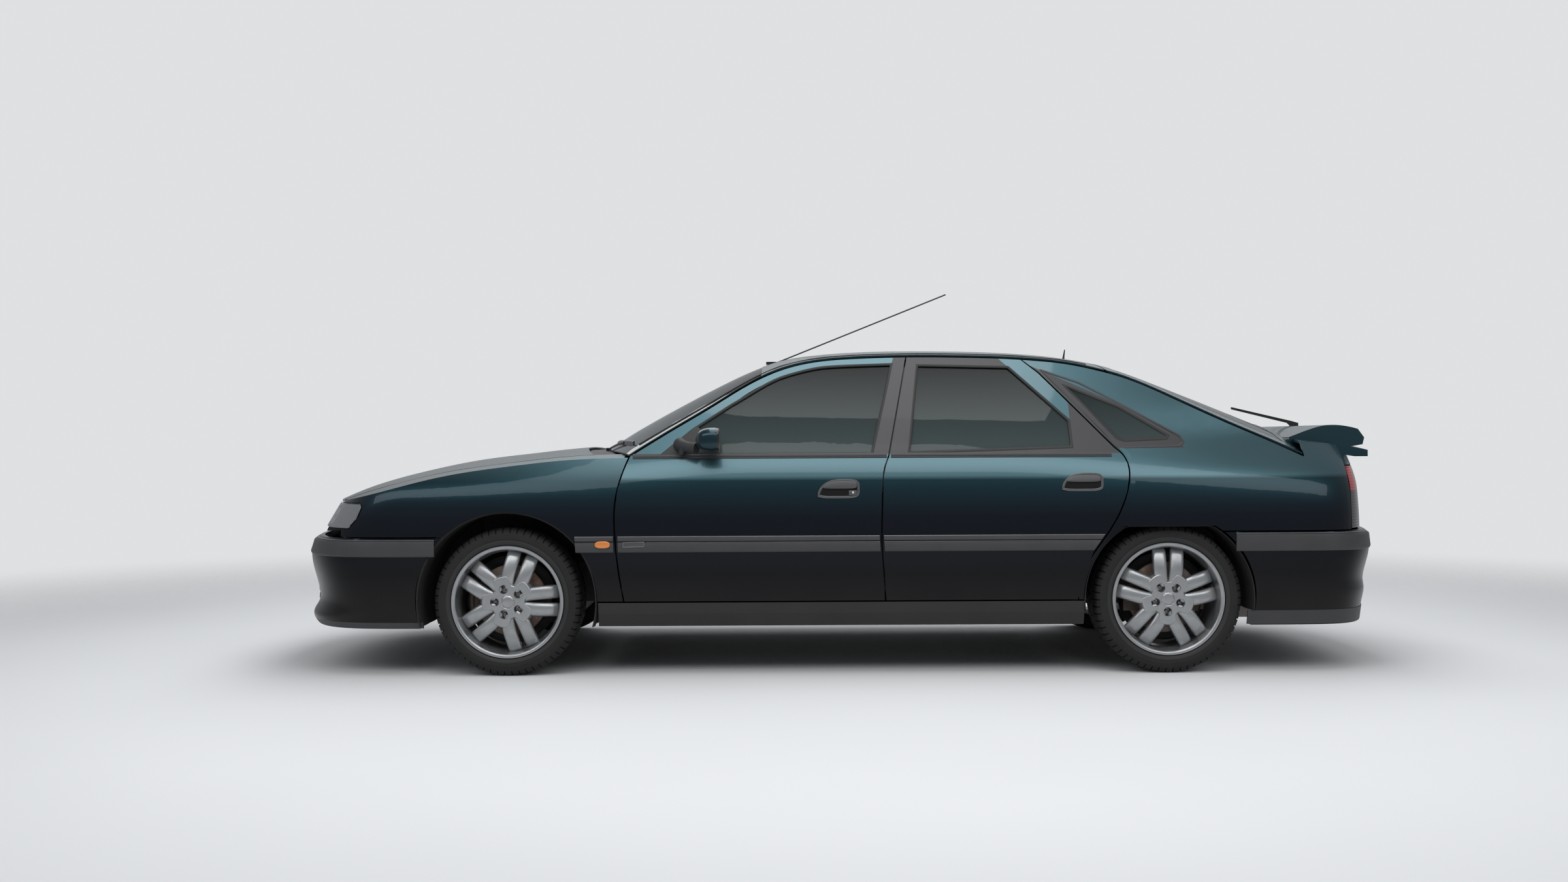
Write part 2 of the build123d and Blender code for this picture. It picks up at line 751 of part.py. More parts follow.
with BuildPart() as scuttle:
    add(overlap(top_prism(scuttle_outline, -HALF_GAP), deck_layer(-1250, -850, SCUTTLE_DROP, SCUTTLE_THICK)))
save(scuttle.part, "scuttle")


# ---------------------------------------------------------------- tailgate
LAMP_INNER_R = 560  # half width of the tailgate between the tail lamps
TAIL_LAMP_TOP = 860
TAIL_LAMP_BOTTOM = BUMPER_TOP_R + 8
REAR_WALL = 40
SPOILER_HALF = 640
HATCH_FOOT_Z = BUMPER_TOP_R + SHUT_GAP


def screen_outline():
    strip_outline(HATCH_X + 62, HATCH_TAIL_X - 50, 62)


def spoiler_profile():
    Spline((1950, 985), (2030, 1015), (2100, 1034), (2200, 1031), (2248, 1019))
    Polyline((2248, 1019), (2275, 982), (2268, 952), (2200, 940), (1950, 950), (1950, 985))


tail_block = end_block(TAIL_REACH, 560, 1060, 0, False)
tail_shell = shell(tail_block, end_block(TAIL_REACH, 550, 1070, REAR_WALL, False))
with BuildPart() as tailgate:
    hatch_plan = top_prism(lambda: strip_outline(HATCH_X, HATCH_TAIL_X, 1))
    hatch_inner = top_prism(lambda: strip_outline(HATCH_X + DOOR_STEP, HATCH_TAIL_X, LID_STEP - 20))
    add(overlap(hatch_plan, roof_layer(1000, 2110, 0, SKIN)))
    add(overlap(hatch_inner, roof_layer(1000, 2110, 0, LID_THICK)))
    add(top_prism(screen_outline), mode=Mode.SUBTRACT)
    low_face = overlap(tail_shell, block(2000, 2400, -LAMP_INNER_R, 0, HATCH_FOOT_Z, 990))
    high_face = overlap(tail_shell, block(2000, 2400, -SPOILER_HALF, 0, TAIL_LAMP_TOP + SHUT_GAP, 990))
    add(both(low_face))
    add(both(high_face))
    deck_plan = block(HATCH_TAIL_X - 25, 2290, -SPOILER_HALF, SPOILER_HALF, 900, 1100)
    add(overlap(deck_plan, deck_layer(1800, 2330, 4, 40)))
    with BuildSketch(Plane.XZ.offset(-SPOILER_HALF)):
        with BuildLine():
            spoiler_profile()
        make_face()
    extrude(amount=2 * SPOILER_HALF)
    hinge_x, hinge_z = HATCH_HINGE
    neck = [
        (hinge_x, hinge_z),
        (hinge_x, hinge_z - 50),
        (hinge_x + 62, hinge_z - 50),
        (hinge_x + 88, hinge_z - 16),
    ]
    for side in (-1, 1):
        add(gooseneck(neck, HATCH_HINGE_WIDTH, side * HATCH_HINGE_Y, HATCH_EYE_R, HATCH_PIN_R + RUNNING_GAP))
save(tailgate.part, "tailgate")

with BuildPart() as tail_quarter:
    add(quarter.part)
    tucked = end_block(TAIL_REACH, 820, 1060, CORNER_TUCK, False)
    corner_shell = shell(tucked, end_block(TAIL_REACH, 800, 1080, QUARTER_SKIN, False))
    beside_spoiler = -SPOILER_HALF - SHUT_GAP
    above_lamp = TAIL_LAMP_TOP + SHUT_GAP
    corner_plan = block(TAIL_SHUT_X - 30, 2400, -900, beside_spoiler, above_lamp, 1050)
    add(overlap(corner_plan, corner_shell, deck_layer(1800, 2330, CORNER_TUCK, DEEP)))
    shoulder = block(HATCH_TAIL_X + SHUT_GAP, 2400, -950, beside_spoiler, above_lamp, 1050)
    add(overlap(shoulder, tucked, deck_layer(1800, 2330, CORNER_TUCK, 10)))
save_pair(tail_quarter.part, "rear_quarter")

with BuildPart() as tailgate_glass:
    add(overlap(top_prism(screen_outline, -SEAT_GAP), roof_layer(1000, 2110, 2, GLASS_THICK)))
save(tailgate_glass.part, "tailgate_glass")


# ---------------------------------------------------------------- lamps, grille and bumpers
LAMP_DEPTH = 90
LAMP_INNER_F = 395
nose_block = end_block(NOSE_REACH, 480, 760, 0, True)
nose_shell = shell(nose_block, nose_block.moved(Location((LAMP_DEPTH, 0, 0))))
headlamp = overlap(
    side_prism(lamp_outline, -HALF_GAP),
    nose_shell,
    block(-2400, -1990, -900, -LAMP_INNER_F, BUMPER_TOP_F + 10, LAMP_TOP_Z - SHUT_GAP),
)
save_pair(headlamp, "headlamp")

with BuildPart() as grille:
    opening = block(-2400, -2000, -LAMP_INNER_F + SEAT_GAP, 0, BUMPER_TOP_F + 4, LAMP_TOP_Z - SHUT_GAP)
    bars = overlap(nose_shell, opening)
    for z in (607, 633, 659, 685):
        bars = shell(bars, block(-2400, -2000, -LAMP_INNER_F + 25, 1, z, z + 16))
    add(both(bars))
save(grille.part, "grille")

tail_lamp = overlap(
    shell(tail_block, tail_block.moved(Location((-LAMP_DEPTH, 0, 0)))),
    block(TAIL_SHUT_X + HALF_GAP, 2400, -900, -LAMP_INNER_R - SHUT_GAP, TAIL_LAMP_BOTTOM, TAIL_LAMP_TOP),
)
save_pair(tail_lamp, "tail_lamp")

BUMPER_REACH_F = [
    (BUMPER_BOTTOM, 845),
    (243, FULL_REACH),
    (265, 842),
    (330, 834),
    (402, 848),
    (474, FULL_REACH),
    (515, FULL_REACH),
    (560, 850),
    (BUMPER_TOP_F, 820),
]
BUMPER_REACH_R = [
    (BUMPER_BOTTOM, 830),
    (290, 838),
    (330, 845),
    (380, 838),
    (470, 858),
    (525, FULL_REACH),
    (560, FULL_REACH),
    (BUMPER_TOP_R, 835),
]


def bumper(reaches, top, front):
    """A hollow bumper that wraps round to the wheel opening."""
    outer = end_block(reaches, BUMPER_BOTTOM, top, 0, front)
    inner = end_block(reaches, BUMPER_BOTTOM - 10, top + 10, BUMPER_WALL, front)
    with BuildPart() as cover:
        add(shell(outer, inner))
        add(front_arch(1) if front else side_prism(lambda: rear_arch_outline(1)), mode=Mode.SUBTRACT)
    return both(cover.part)


save(bumper(BUMPER_REACH_F, BUMPER_TOP_F - HALF_GAP, True), "front_bumper")
save(bumper(BUMPER_REACH_R, BUMPER_TOP_R - HALF_GAP, False), "rear_bumper")


# ---------------------------------------------------------------- sills, floor and front structure
FLOOR_HALF = SILL_Y - RING_WALL - SEAT_GAP
FLOOR_THICK = 25
DASH_X = -985
ENGINE_HALF = 330
RAIL_HALF = 430
BULKHEAD = 20


def skirt_section():
    """The side skirt: outer face down to a tucked-in foot, with a flange back to the sill."""
    top = SILL_TOP_Z - HALF_GAP
    return [
        (section_half(top) - 1, top),
        (section_half(260) - 1, 260),
        (section_half(SKIRT_BOTTOM_Z) - 10, SKIRT_BOTTOM_Z),
        (SILL_Y + SEAT_GAP, SKIRT_BOTTOM_Z),
        (SILL_Y + SEAT_GAP + 6, SKIRT_BOTTOM_Z + 20),
        (section_half(260) - 16, SKIRT_BOTTOM_Z + 24),
        (section_half(top) - 14, top),
    ]


save_pair(section_prism(skirt_section(), -1012, 1018), "side_skirt")

with BuildPart() as floor:
    with BuildSketch(Plane.XZ.offset(-FLOOR_HALF)):
        with BuildLine():
            Polyline(
                (DASH_X, 206),
                (760, 206),
                (900, 350),
                (1750, 350),
                (1790, 300),
                (2224, 300),
                (2224, 300 + FLOOR_THICK),
                (1805, 300 + FLOOR_THICK),
                (1765, 350 + FLOOR_THICK),
                (890, 350 + FLOOR_THICK),
                (750, 206 + FLOOR_THICK),
                (DASH_X, 206 + FLOOR_THICK),
                close=True,
            )
        make_face()
    extrude(amount=2 * FLOOR_HALF)
    for side in (-1, 1):
        wheelhouse = (REAR_AXLE_X, side * (FLOOR_HALF + 60 - 115), 340)
        with Locations(wheelhouse):
            Box(2 * REAR_ARCH_R + 30, 400, 500, mode=Mode.SUBTRACT)
    lamp_back = end_block(TAIL_REACH, 280, 1060, 0, False).moved(Location((-LAMP_DEPTH - 1, 0, 0)))
    for side in (-1, 1):
        y0, y1 = sorted((side * 640, side * 720))
        add(block(2180, 2240, y0, y1, 290, 335), mode=Mode.SUBTRACT)
    rear_panel = carrier(lamp_back, lamp_back.moved(Location((-14, 0, 0))), 300, TAIL_LAMP_TOP - 4, 640)
    boot_mouth = block(2000, 2400, -LAMP_INNER_R - 7, LAMP_INNER_R + 7, BUMPER_TOP_R - 9, 1000)
    add(shell(rear_panel, boot_mouth))
    add(beam(BUMPER_REACH_R, False))
    for side in (-1, 1):
        add(block(2210, CRASH_BOX_X, side * 400 - 30, side * 400 + 30, 445, 515))
    add(block(2218, 2300, -40, 40, BUMPER_TOP_R - 30, HATCH_FOOT_Z - SEAT_GAP))
save(floor.part, "floor_pan")

RAIL_LOW_Z = 445
RAIL_TOP_Z = 525
BONNET_CORNER_Z = 898  # the rear corners of the open bonnet swing past above this

with BuildPart() as front_frame:
    add(block(DASH_X - BULKHEAD, DASH_X - SEAT_GAP, -700, 700, 206, 850))
    firewall_x = DASH_X - BULKHEAD
    for side in (-1, 1):
        y0, y1 = side * RAIL_HALF - 30, side * RAIL_HALF + 30
        add(block(-CRASH_BOX_X, firewall_x, y0, y1, RAIL_LOW_Z, RAIL_TOP_Z))
        add(block(-1650, firewall_x, side * 450 - 8, side * 450 + 8, RAIL_LOW_Z, 800))
        cheek = side * (BONNET_HINGE_Y + HINGE_WIDTH / 2 + 1)
        y0, y1 = sorted((cheek, cheek + side * 12))
        hinge_x, hinge_z = BONNET_HINGE
        add(block(hinge_x - EYE_R, firewall_x, y0, y1, 800, hinge_z + EYE_R))
        add(pin(hinge_x, cheek, side * (BONNET_HINGE_Y - HINGE_WIDTH / 2), hinge_z, HINGE_PIN_R))
        y0, y1 = sorted((side * 690, side * 750))
        apron = block(-1990, DASH_X - SEAT_GAP, y0, y1, 600, 1000)
        add(overlap(apron, deck_layer(-2200, -800, 0.5 + WING_SKIN + FIT_GAP, 34)))
    cowl = block(firewall_x, DASH_X - SEAT_GAP, -696, 696, 800, 1000)
    add(overlap(cowl, deck_layer(-1250, -850, SCUTTLE_DROP + SCUTTLE_THICK + FIT_GAP, 150)))
    for side in (-1, 1):
        y0, y1 = sorted((side * 689, side * (BONNET_SIDE_Y + 2)))
        add(block(DASH_X - 50, DASH_X, y0, y1, BONNET_CORNER_Z, 1000), mode=Mode.SUBTRACT)
    lamp_back = nose_block.moved(Location((LAMP_DEPTH + FIT_GAP, 0, 0)))
    add(carrier(lamp_back, lamp_back.moved(Location((14, 0, 0))), 500, 716, 690))
    add(beam(BUMPER_REACH_F, True))
save(front_frame.part, "front_frame")

with BuildPart() as engine:
    add(block(-1900, -1080, -ENGINE_HALF, ENGINE_HALF, 260, 780))
    mount_y = RAIL_HALF - 30 - SEAT_GAP
    add(block(-1610, -1510, -mount_y, mount_y, RAIL_LOW_Z + 5, RAIL_LOW_Z + 55))
save(engine.part, "engine")


# ---------------------------------------------------------------- wheels
TYRE_INNER_R = 220.3
BEAD_HALF = 100.5
BEAD_R = 238
RIM_HALF = 108
BARREL_R = 220
DISC_R = 150
SPOKE_PAIRS = 5


def wheel_plane(x, side):
    """Wheel frame: z along the axle outwards, origin at the middle of the tyre."""
    return Plane(origin=(x, side * HALF_TRACK, HUB_Z), x_dir=(1, 0, 0), z_dir=(0, side, 0))


with BuildPart() as tyre:
    half = TYRE_WIDTH / 2
    with BuildSketch(Plane.XZ):
        with BuildLine():
            Line((TYRE_INNER_R, -92), (TYRE_INNER_R, 92))
            Polyline((TYRE_INNER_R, 92), (TYRE_INNER_R, BEAD_HALF), (BEAD_R, BEAD_HALF + 0.5))
            ThreePointArc((BEAD_R, BEAD_HALF + 0.5), (268, half), (296, 104))
            Spline((296, 104), (306, 92), (TYRE_RADIUS, 68), tangents=[(0.6, -0.8), (0, -1)])
            Line((TYRE_RADIUS, 68), (TYRE_RADIUS, -68))
            Spline((TYRE_RADIUS, -68), (306, -92), (296, -104), tangents=[(0, -1), (-0.6, -0.8)])
            ThreePointArc((296, -104), (268, -half), (BEAD_R, -BEAD_HALF - 0.5))
            Polyline((BEAD_R, -BEAD_HALF - 0.5), (TYRE_INNER_R, -BEAD_HALF), (TYRE_INNER_R, -92))
        make_face()
    revolve(axis=Axis.Z)

with BuildPart() as rim:
    with BuildSketch(Plane.XZ):
        with BuildLine():
            Polyline(
                (BARREL_R - 8, -RIM_HALF),
                (RIM_RADIUS, -RIM_HALF),
                (RIM_RADIUS, -101.5),
                (BARREL_R, -101.2),
                (BARREL_R, 101.2),
                (RIM_RADIUS, 101.5),
                (RIM_RADIUS, RIM_HALF),
                (BARREL_R - 6, RIM_HALF),
                (BARREL_R - 12, 80),
                (BARREL_R - 8, 40),
                close=True,
            )
        make_face()
    revolve(axis=Axis.Z)
    for k in range(SPOKE_PAIRS):
        for hand in (-1, 1):
            turn = 90 + 360 * k / SPOKE_PAIRS
            outwards = (cos(radians(turn)), sin(radians(turn)), 0)
            with BuildSketch(Plane(origin=(0, 0, 48), x_dir=outwards, z_dir=(0, 0, 1))):
                with BuildLine():
                    Polyline(
                        (48, hand * 8), (60, hand * 32), (150, hand * 32), (210, hand * 53),
                        (213, hand * 30), (150, hand * 9), close=True,
                    )
                make_face()
            extrude(amount=36)
    # hub with lug wells, the brake disc and its hat
    with BuildSketch(Plane.XY.offset(-20)):
        Circle(78)
    extrude(amount=98)
    with BuildSketch(Plane.XY.offset(60)):
        with PolarLocations(54, SPOKE_PAIRS, 36):
            Circle(11)
    extrude(amount=30, mode=Mode.SUBTRACT)
    with BuildSketch(Plane.XY.offset(-12)):
        Circle(DISC_R)
    extrude(amount=24)
    with BuildSketch(Plane.XY.offset(-21)):
        Circle(STUB_R + RUNNING_GAP)
    extrude(amount=71, mode=Mode.SUBTRACT)

WHEELS = {
    "front_left": (FRONT_AXLE_X, -1),
    "front_right": (FRONT_AXLE_X, 1),
    "rear_left": (REAR_AXLE_X, -1),
    "rear_right": (REAR_AXLE_X, 1),
}
for label, (x, side) in WHEELS.items():
    place = wheel_plane(x, side).location
    save(tyre.part.moved(place), f"tyre_{label}")
    save(rim.part.moved(place), f"rim_{label}")


# ---------------------------------------------------------------- suspension
LOW_JOINT_Z = 190
HIGH_JOINT_Z = 425
CALIPER_CLEAR = 4


def caliper(direction):
    """Brake caliper over the disc edge, in the wheel frame."""
    with BuildPart() as body:
        x0, x1 = sorted((96 * direction, 175 * direction))
        add(block(x0, x1, -55, 55, -40, 38))
        with BuildSketch(Plane.XY.offset(-12 - CALIPER_CLEAR)):
            Circle(DISC_R + CALIPER_CLEAR)
        extrude(amount=24 + 2 * CALIPER_CLEAR, mode=Mode.SUBTRACT)
    return body.part


def upright(direction):
    """Wheel carrier in the wheel frame: stub axle, carrier plate and caliper."""
    with BuildPart() as carrier:
        with BuildSketch(Plane.XY.offset(-72)):
            Circle(STUB_R)
        extrude(amount=120)
        with BuildSketch(Plane.XY.offset(-78)):
            Circle(62)
        extrude(amount=40)
        x0, x1 = sorted((40 * direction, 150 * direction))
        add(block(x0, x1, -30, 30, -60, -38))
        add(caliper(direction))
    return carrier.part


for side, hand in ((-1, "left"), (1, "right")):
    with BuildPart() as knuckle:
        add(placed(wheel_plane(FRONT_AXLE_X, side), upright(1)))
        y0, y1 = sorted((side * 672, side * 708))
        add(block(FRONT_AXLE_X - 26, FRONT_AXLE_X + 26, y0, y1, LOW_JOINT_Z + 18, HIGH_JOINT_Z - 18))
    save(knuckle.part, f"knuckle_{hand}")

with BuildPart() as front_axle:
    add(block(FRONT_AXLE_X - 150, FRONT_AXLE_X + 190, -400, 400, 175, 235))
    for side in (-1, 1):
        y0, y1 = sorted((side * 398, side * 706))
        add(block(FRONT_AXLE_X - 20, FRONT_AXLE_X + 20, y0, y1, LOW_JOINT_Z - 12, LOW_JOINT_Z + 17.7))
        add(block(FRONT_AXLE_X - 20, FRONT_AXLE_X + 20, y0, y1, HIGH_JOINT_Z - 17.7, HIGH_JOINT_Z + 12))
        y0, y1 = sorted((side * 380, side * (RAIL_HALF - 30 - SEAT_GAP)))
        add(block(FRONT_AXLE_X - 60, FRONT_AXLE_X + 60, y0, y1, 175, RAIL_LOW_Z + 40))
save(front_axle.part, "front_axle")

with BuildPart() as rear_axle:
    for side in (-1, 1):
        add(placed(wheel_plane(REAR_AXLE_X, side), upright(-1)))
        y0, y1 = sorted((side * 440, side * 690))
        add(block(REAR_AXLE_X - 30, REAR_AXLE_X + 30, y0, y1, HUB_Z - 30, HUB_Z + 30))
        y0, y1 = side * 400 - 20, side * 400 + 20
        add(block(REAR_AXLE_X - 20, REAR_AXLE_X + 20, y0, y1, HUB_Z, 350 - SEAT_GAP))
    add(block(REAR_AXLE_X - 40, REAR_AXLE_X + 40, -460, 460, HUB_Z - 40, HUB_Z + 38))
save(rear_axle.part, "rear_axle")

PIPE_R = 28
PIPE_Z = SKIRT_BOTTOM_Z - PIPE_R - SEAT_GAP

with BuildPart() as exhaust:
    add(block(1560, 1900, -480, 100, 190, 290))
    with BuildLine(Plane.XZ.offset(60)) as pipe_line:
        FilletPolyline((-950, PIPE_Z), (800, PIPE_Z), (900, 240), (1600, 240), radius=80)
    with BuildSketch(Plane(origin=(-950, -60, PIPE_Z), z_dir=(1, 0, 0))):
        Circle(PIPE_R)
    sweep(path=pipe_line.line)
    with Locations((1980, -400, 235)):
        Cylinder(30, 300, rotation=(0, 90, 0))
save(exhaust.part, "exhaust")


# ---------------------------------------------------------------- inside
SEAT_Y = 370
FLOOR_Z = 206 + FLOOR_THICK + SEAT_GAP


def seat(width, y, cushion_x, back_x, floor_z, top_z, name):
    """A seat: crowned cushion on a base, and a reclined back with its head restraint."""
    half = width / 2
    with BuildPart() as body:
        with BuildSketch(Plane.XZ.offset(-y - half)):
            with BuildLine():
                Polyline(
                    (cushion_x, floor_z),
                    (cushion_x + 20, 470),
                    (cushion_x + 60, 520),
                    (back_x - 60, 480),
                    (back_x + 110, top_z),
                    (back_x + 200, top_z - 10),
                    (back_x + 70, 400),
                    (back_x + 20, floor_z),
                    close=True,
                )
            make_face()
        extrude(amount=width)
        fillet(body.edges().filter_by(Axis.Y), 18)
    save(body.part, name)


seat(500, -SEAT_Y, -470, 60, FLOOR_Z, 1020, "front_seat_left")
seat(500, SEAT_Y, -470, 60, FLOOR_Z, 1020, "front_seat_right")
seat(1160, 0, 480, 980, 375 + SEAT_GAP, 1010, "rear_seat")

with BuildPart() as dashboard:
    with BuildSketch(Plane.XZ.offset(-680)):
        with BuildLine():
            Spline((DASH_X, 845), (-880, 890), (-700, 880))
            Polyline((-700, 880), (-640, 830), (-680, 700), (-760, 640), (DASH_X, 640), (DASH_X, 845))
        make_face()
    extrude(amount=1360)
save(dashboard.part, "dashboard")

with BuildPart() as steering_wheel:
    wheel_tilt = Plane(origin=(-540, -SEAT_Y, 800), x_dir=(0, 1, 0), z_dir=(0.88, 0, 0.47))
    rim_centre = wheel_tilt.origin + wheel_tilt.x_dir * 180
    with BuildSketch(Plane(origin=rim_centre, x_dir=wheel_tilt.x_dir, z_dir=wheel_tilt.y_dir)):
        Circle(15)
    revolve(axis=Axis(wheel_tilt.origin, wheel_tilt.z_dir))
    with BuildSketch(wheel_tilt.offset(-12)):
        Circle(65)
        Rectangle(350, 30)
    extrude(amount=24)
    with BuildSketch(wheel_tilt):
        Circle(26)
    extrude(amount=-170)
    add(dashboard.part.moved(Location((SEAT_GAP, 0, 0))), mode=Mode.SUBTRACT)
save(steering_wheel.part, "steering_wheel")


# ---------------------------------------------------------------- mirrors, aerial and wipers
with BuildPart() as mirror_left:
    foot = overlap(
        side_prism(lambda: Polyline((-730, 935), (-606, 935), (-606, 1010), close=True)),
        side_layer(-900, -400, 850, 1150, 30).moved(Location((0, -30 - SEAT_GAP, 0))),
    )
    add(foot)
    add(block(-650, -606, -920, -835, 950, 985))
    with BuildSketch(Plane(origin=(-640, -925, 985), x_dir=(0, 1, 0), z_dir=(1, 0, 0))):
        RectangleRounded(170, 105, 35)
    extrude(amount=110, taper=8)
save_pair(mirror_left.part, "mirror")

with BuildPart() as aerial:
    root_z = table(-290, ROOF_LINE) + SEAT_GAP
    whip = Plane(origin=(-290, 0, root_z), z_dir=(0.93, 0, 0.37))
    with BuildSketch(Plane.XY.offset(root_z)):
        with Locations((-290, 0)):
            Ellipse(26, 14)
    extrude(amount=14)
    with BuildSketch(whip.offset(8)):
        RegularPolygon(3.5, 12)
    extrude(amount=880)
    add(roof_layer(-500, 1300, -SEAT_GAP, 400), mode=Mode.SUBTRACT)
save(aerial.part, "aerial")


def wiper(y_pivot, y_tip):
    """A parked wiper on the windscreen: blade along the foot of the glass, arm back to the scuttle."""
    def foot_x(y):
        return SCREEN_FOOT_X + (SCREEN_CORNER_X - SCREEN_FOOT_X) * (y / 740) ** 2

    def plan(x0, x1, near_y, far_y, half):
        """A strip beside the foot of the glass, from one y to the other."""
        ys = steps(near_y, far_y, 4)
        xs = [foot_x(y) + x0 + (x1 - x0) * i / 3 for i, y in enumerate(ys)]
        front = [(x - half, y) for x, y in zip(xs, ys)]
        back = [(x + half, y) for x, y in zip(reversed(xs), reversed(ys))]
        Polyline(*front, *back, close=True)

    reach = (y_tip - y_pivot) * 0.55
    blade = top_prism(lambda: plan(28, 28, y_pivot + reach * 0.1, y_tip, 4))
    arm = top_prism(lambda: plan(-22, 28, y_pivot, y_pivot + reach, 6))
    glass_plan = top_prism(windscreen_outline, 8)
    with BuildPart() as piece:
        add(overlap(blade, roof_layer(-1150, -200, -15, 15.7)))
        add(overlap(arm, glass_plan, roof_layer(-1150, -200, -15, 9)))
        add(shell(overlap(arm, deck_layer(-1250, -850, 0, SCUTTLE_DROP - SEAT_GAP)), glass_plan))
    return piece.part


save(union(wiper(-330, -690), wiper(330, -60)), "front_wipers")

with BuildPart() as rear_wiper:
    with BuildSketch(Plane.XZ.offset(-8)):
        with BuildLine():
            lower = [(1885, 1118), (2150, 1052), (2165, 1036), (2200, 1033)]
            upper = [(2200, 1052), (2165, 1062), (1885, 1128)]
            Polyline(*lower, *upper, close=True)
        make_face()
    extrude(amount=16)
save(rear_wiper.part, "rear_wiper")
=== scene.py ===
import math

import bpy
import numpy as np
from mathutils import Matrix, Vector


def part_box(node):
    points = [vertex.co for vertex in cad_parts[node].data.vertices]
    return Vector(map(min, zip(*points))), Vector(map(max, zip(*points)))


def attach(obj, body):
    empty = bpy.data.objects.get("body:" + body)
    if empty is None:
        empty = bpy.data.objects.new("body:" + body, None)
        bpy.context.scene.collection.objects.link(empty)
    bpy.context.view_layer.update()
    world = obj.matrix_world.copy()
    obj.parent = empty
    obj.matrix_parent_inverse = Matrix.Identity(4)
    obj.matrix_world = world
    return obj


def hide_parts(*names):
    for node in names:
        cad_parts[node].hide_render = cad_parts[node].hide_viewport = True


# The looks of a five-door executive hatchback: paint, trim, lamps, wheels, tyres and cabin.
# Formulas are in millimetres in the frame's own axes: the car faces -X with its left side at -Y.
# piece() writes metres.

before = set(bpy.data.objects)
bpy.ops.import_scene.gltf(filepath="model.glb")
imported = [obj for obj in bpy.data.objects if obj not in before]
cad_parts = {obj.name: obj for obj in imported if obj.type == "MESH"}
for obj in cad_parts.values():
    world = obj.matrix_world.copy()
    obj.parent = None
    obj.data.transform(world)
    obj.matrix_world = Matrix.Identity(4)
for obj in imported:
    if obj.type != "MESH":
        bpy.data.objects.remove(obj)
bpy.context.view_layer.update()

MM = 0.001
SIDES = {"left": -1, "right": 1}
NO_TRIS = np.zeros((0, 3), int)


def low_high(node):
    """Lowest and highest corner of a solid, in millimetres."""
    low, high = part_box(node)
    return np.array(low) / MM, np.array(high) / MM


# ---- driving sizes, read from the frame
NOSE_X = low_high("front_bumper")[0][0]
TAIL_X = low_high("rear_bumper")[1][0]
TYRE_LOW, TYRE_HIGH = low_high("tyre_front_left")
HUB_Z = (TYRE_HIGH[2] - TYRE_LOW[2]) / 2
HALF_TRACK = -(TYRE_LOW[1] + TYRE_HIGH[1]) / 2
AXLE_X = {end: sum(low_high(f"tyre_{end}_left"))[0] / 2 for end in ("front", "rear")}
BARREL_X = 1500  # the sides run straight to here, both ways
NOSE_POWER = 6
TAIL_POWER = 8
BELT_Z = 915


# ---- body surface, as formulas
def through(x, knots):
    """Smooth monotone curve through knots: cubic Hermite with harmonic-mean tangents."""
    kx, kv = np.array(knots, float).T
    slope = np.diff(kv) / np.diff(kx)
    before, after = slope[:-1], slope[1:]
    total = np.where(before + after == 0, 1, before + after)
    inner = np.where(before * after > 0, 2 * before * after / total, 0)
    tangent = np.concatenate([slope[:1], inner, slope[-1:]])
    x = np.clip(x, kx[0], kx[-1])
    i = np.clip(np.searchsorted(kx, x, side="right") - 1, 0, len(kx) - 2)
    span = kx[i + 1] - kx[i]
    u = (x - kx[i]) / span
    ends = kv[i] * (1 + 2 * u) * (1 - u) ** 2 + kv[i + 1] * u * u * (3 - 2 * u)
    return ends + span * (tangent[i] * u * (1 - u) ** 2 + tangent[i + 1] * u * u * (u - 1))


def grid(x, y, z):
    """Points from three coordinates, each spread over the same grid."""
    return np.stack(np.broadcast_arrays(x, y, z), -1).astype(float)


def tall(first, last, count):
    """Evenly spaced values as a column."""
    return np.linspace(first, last, count)[:, None]


def wide(first, last, count):
    """Evenly spaced values as a row."""
    return np.linspace(first, last, count)[None, :]


def circle(count):
    """Evenly spaced angles round a circle."""
    return np.arange(count) * 2 * math.pi / count


def smooth(u):
    """Smooth step from 0 to 1."""
    u = np.clip(u, 0, 1)
    return u * u * (3 - 2 * u)


def side_y(x, z):
    """Half width before the corners round off: a tucked sill, a full door and leaning glass."""
    low = 900 - 2.8e-4 * (600 - z) ** 2
    height = np.minimum(z, BELT_Z)
    door = 900 - 4.2e-4 * (height - 600) ** 2 - 6e-6 * np.maximum(0, height - 800) ** 3
    above = np.maximum(0, z - BELT_Z)
    half = np.where(z < 600, low, door - 0.46 * above - 1e-4 * above**2)
    ends = 6e-5 * np.maximum(0, -300 - x) ** 2 + 5e-5 * np.maximum(0, x - 600) ** 2
    return half - ends * smooth((z - 760) / 240)


NOSE_REACH = [(583, 817), (624, 791), (730, 723), (770, 696), (900, 690)]
TAIL_REACH = [(600, 820), (690, 817), (950, 795), (1050, 770)]
BUMPER_F = [
    (200, 845), (243, 867), (265, 842), (330, 834), (402, 848), (474, 867), (515, 867), (560, 850),
    (583, 820),
]
BUMPER_R = [(200, 830), (290, 838), (330, 845), (380, 838), (470, 858), (525, 867), (560, 867), (594, 835)]
ROOF_LINE = [
    (-1160, 870), (-1046, 940), (-908, 1033), (-754, 1119), (-601, 1200), (-447, 1276), (-324, 1327),
    (-233, 1355), (-48, 1380), (137, 1390), (340, 1393), (691, 1386), (950, 1367), (1153, 1337),
    (1246, 1315), (1431, 1250), (1616, 1179), (1800, 1104), (1985, 1029), (2120, 972),
]
ROOF_CROWN = [
    (-1160, 1.75e-4), (-601, 1.8e-4), (-300, 1.4e-4), (-50, 1.1e-4), (900, 1.1e-4), (1250, 1.5e-4),
    (1700, 2e-4), (2120, 2e-4),
]


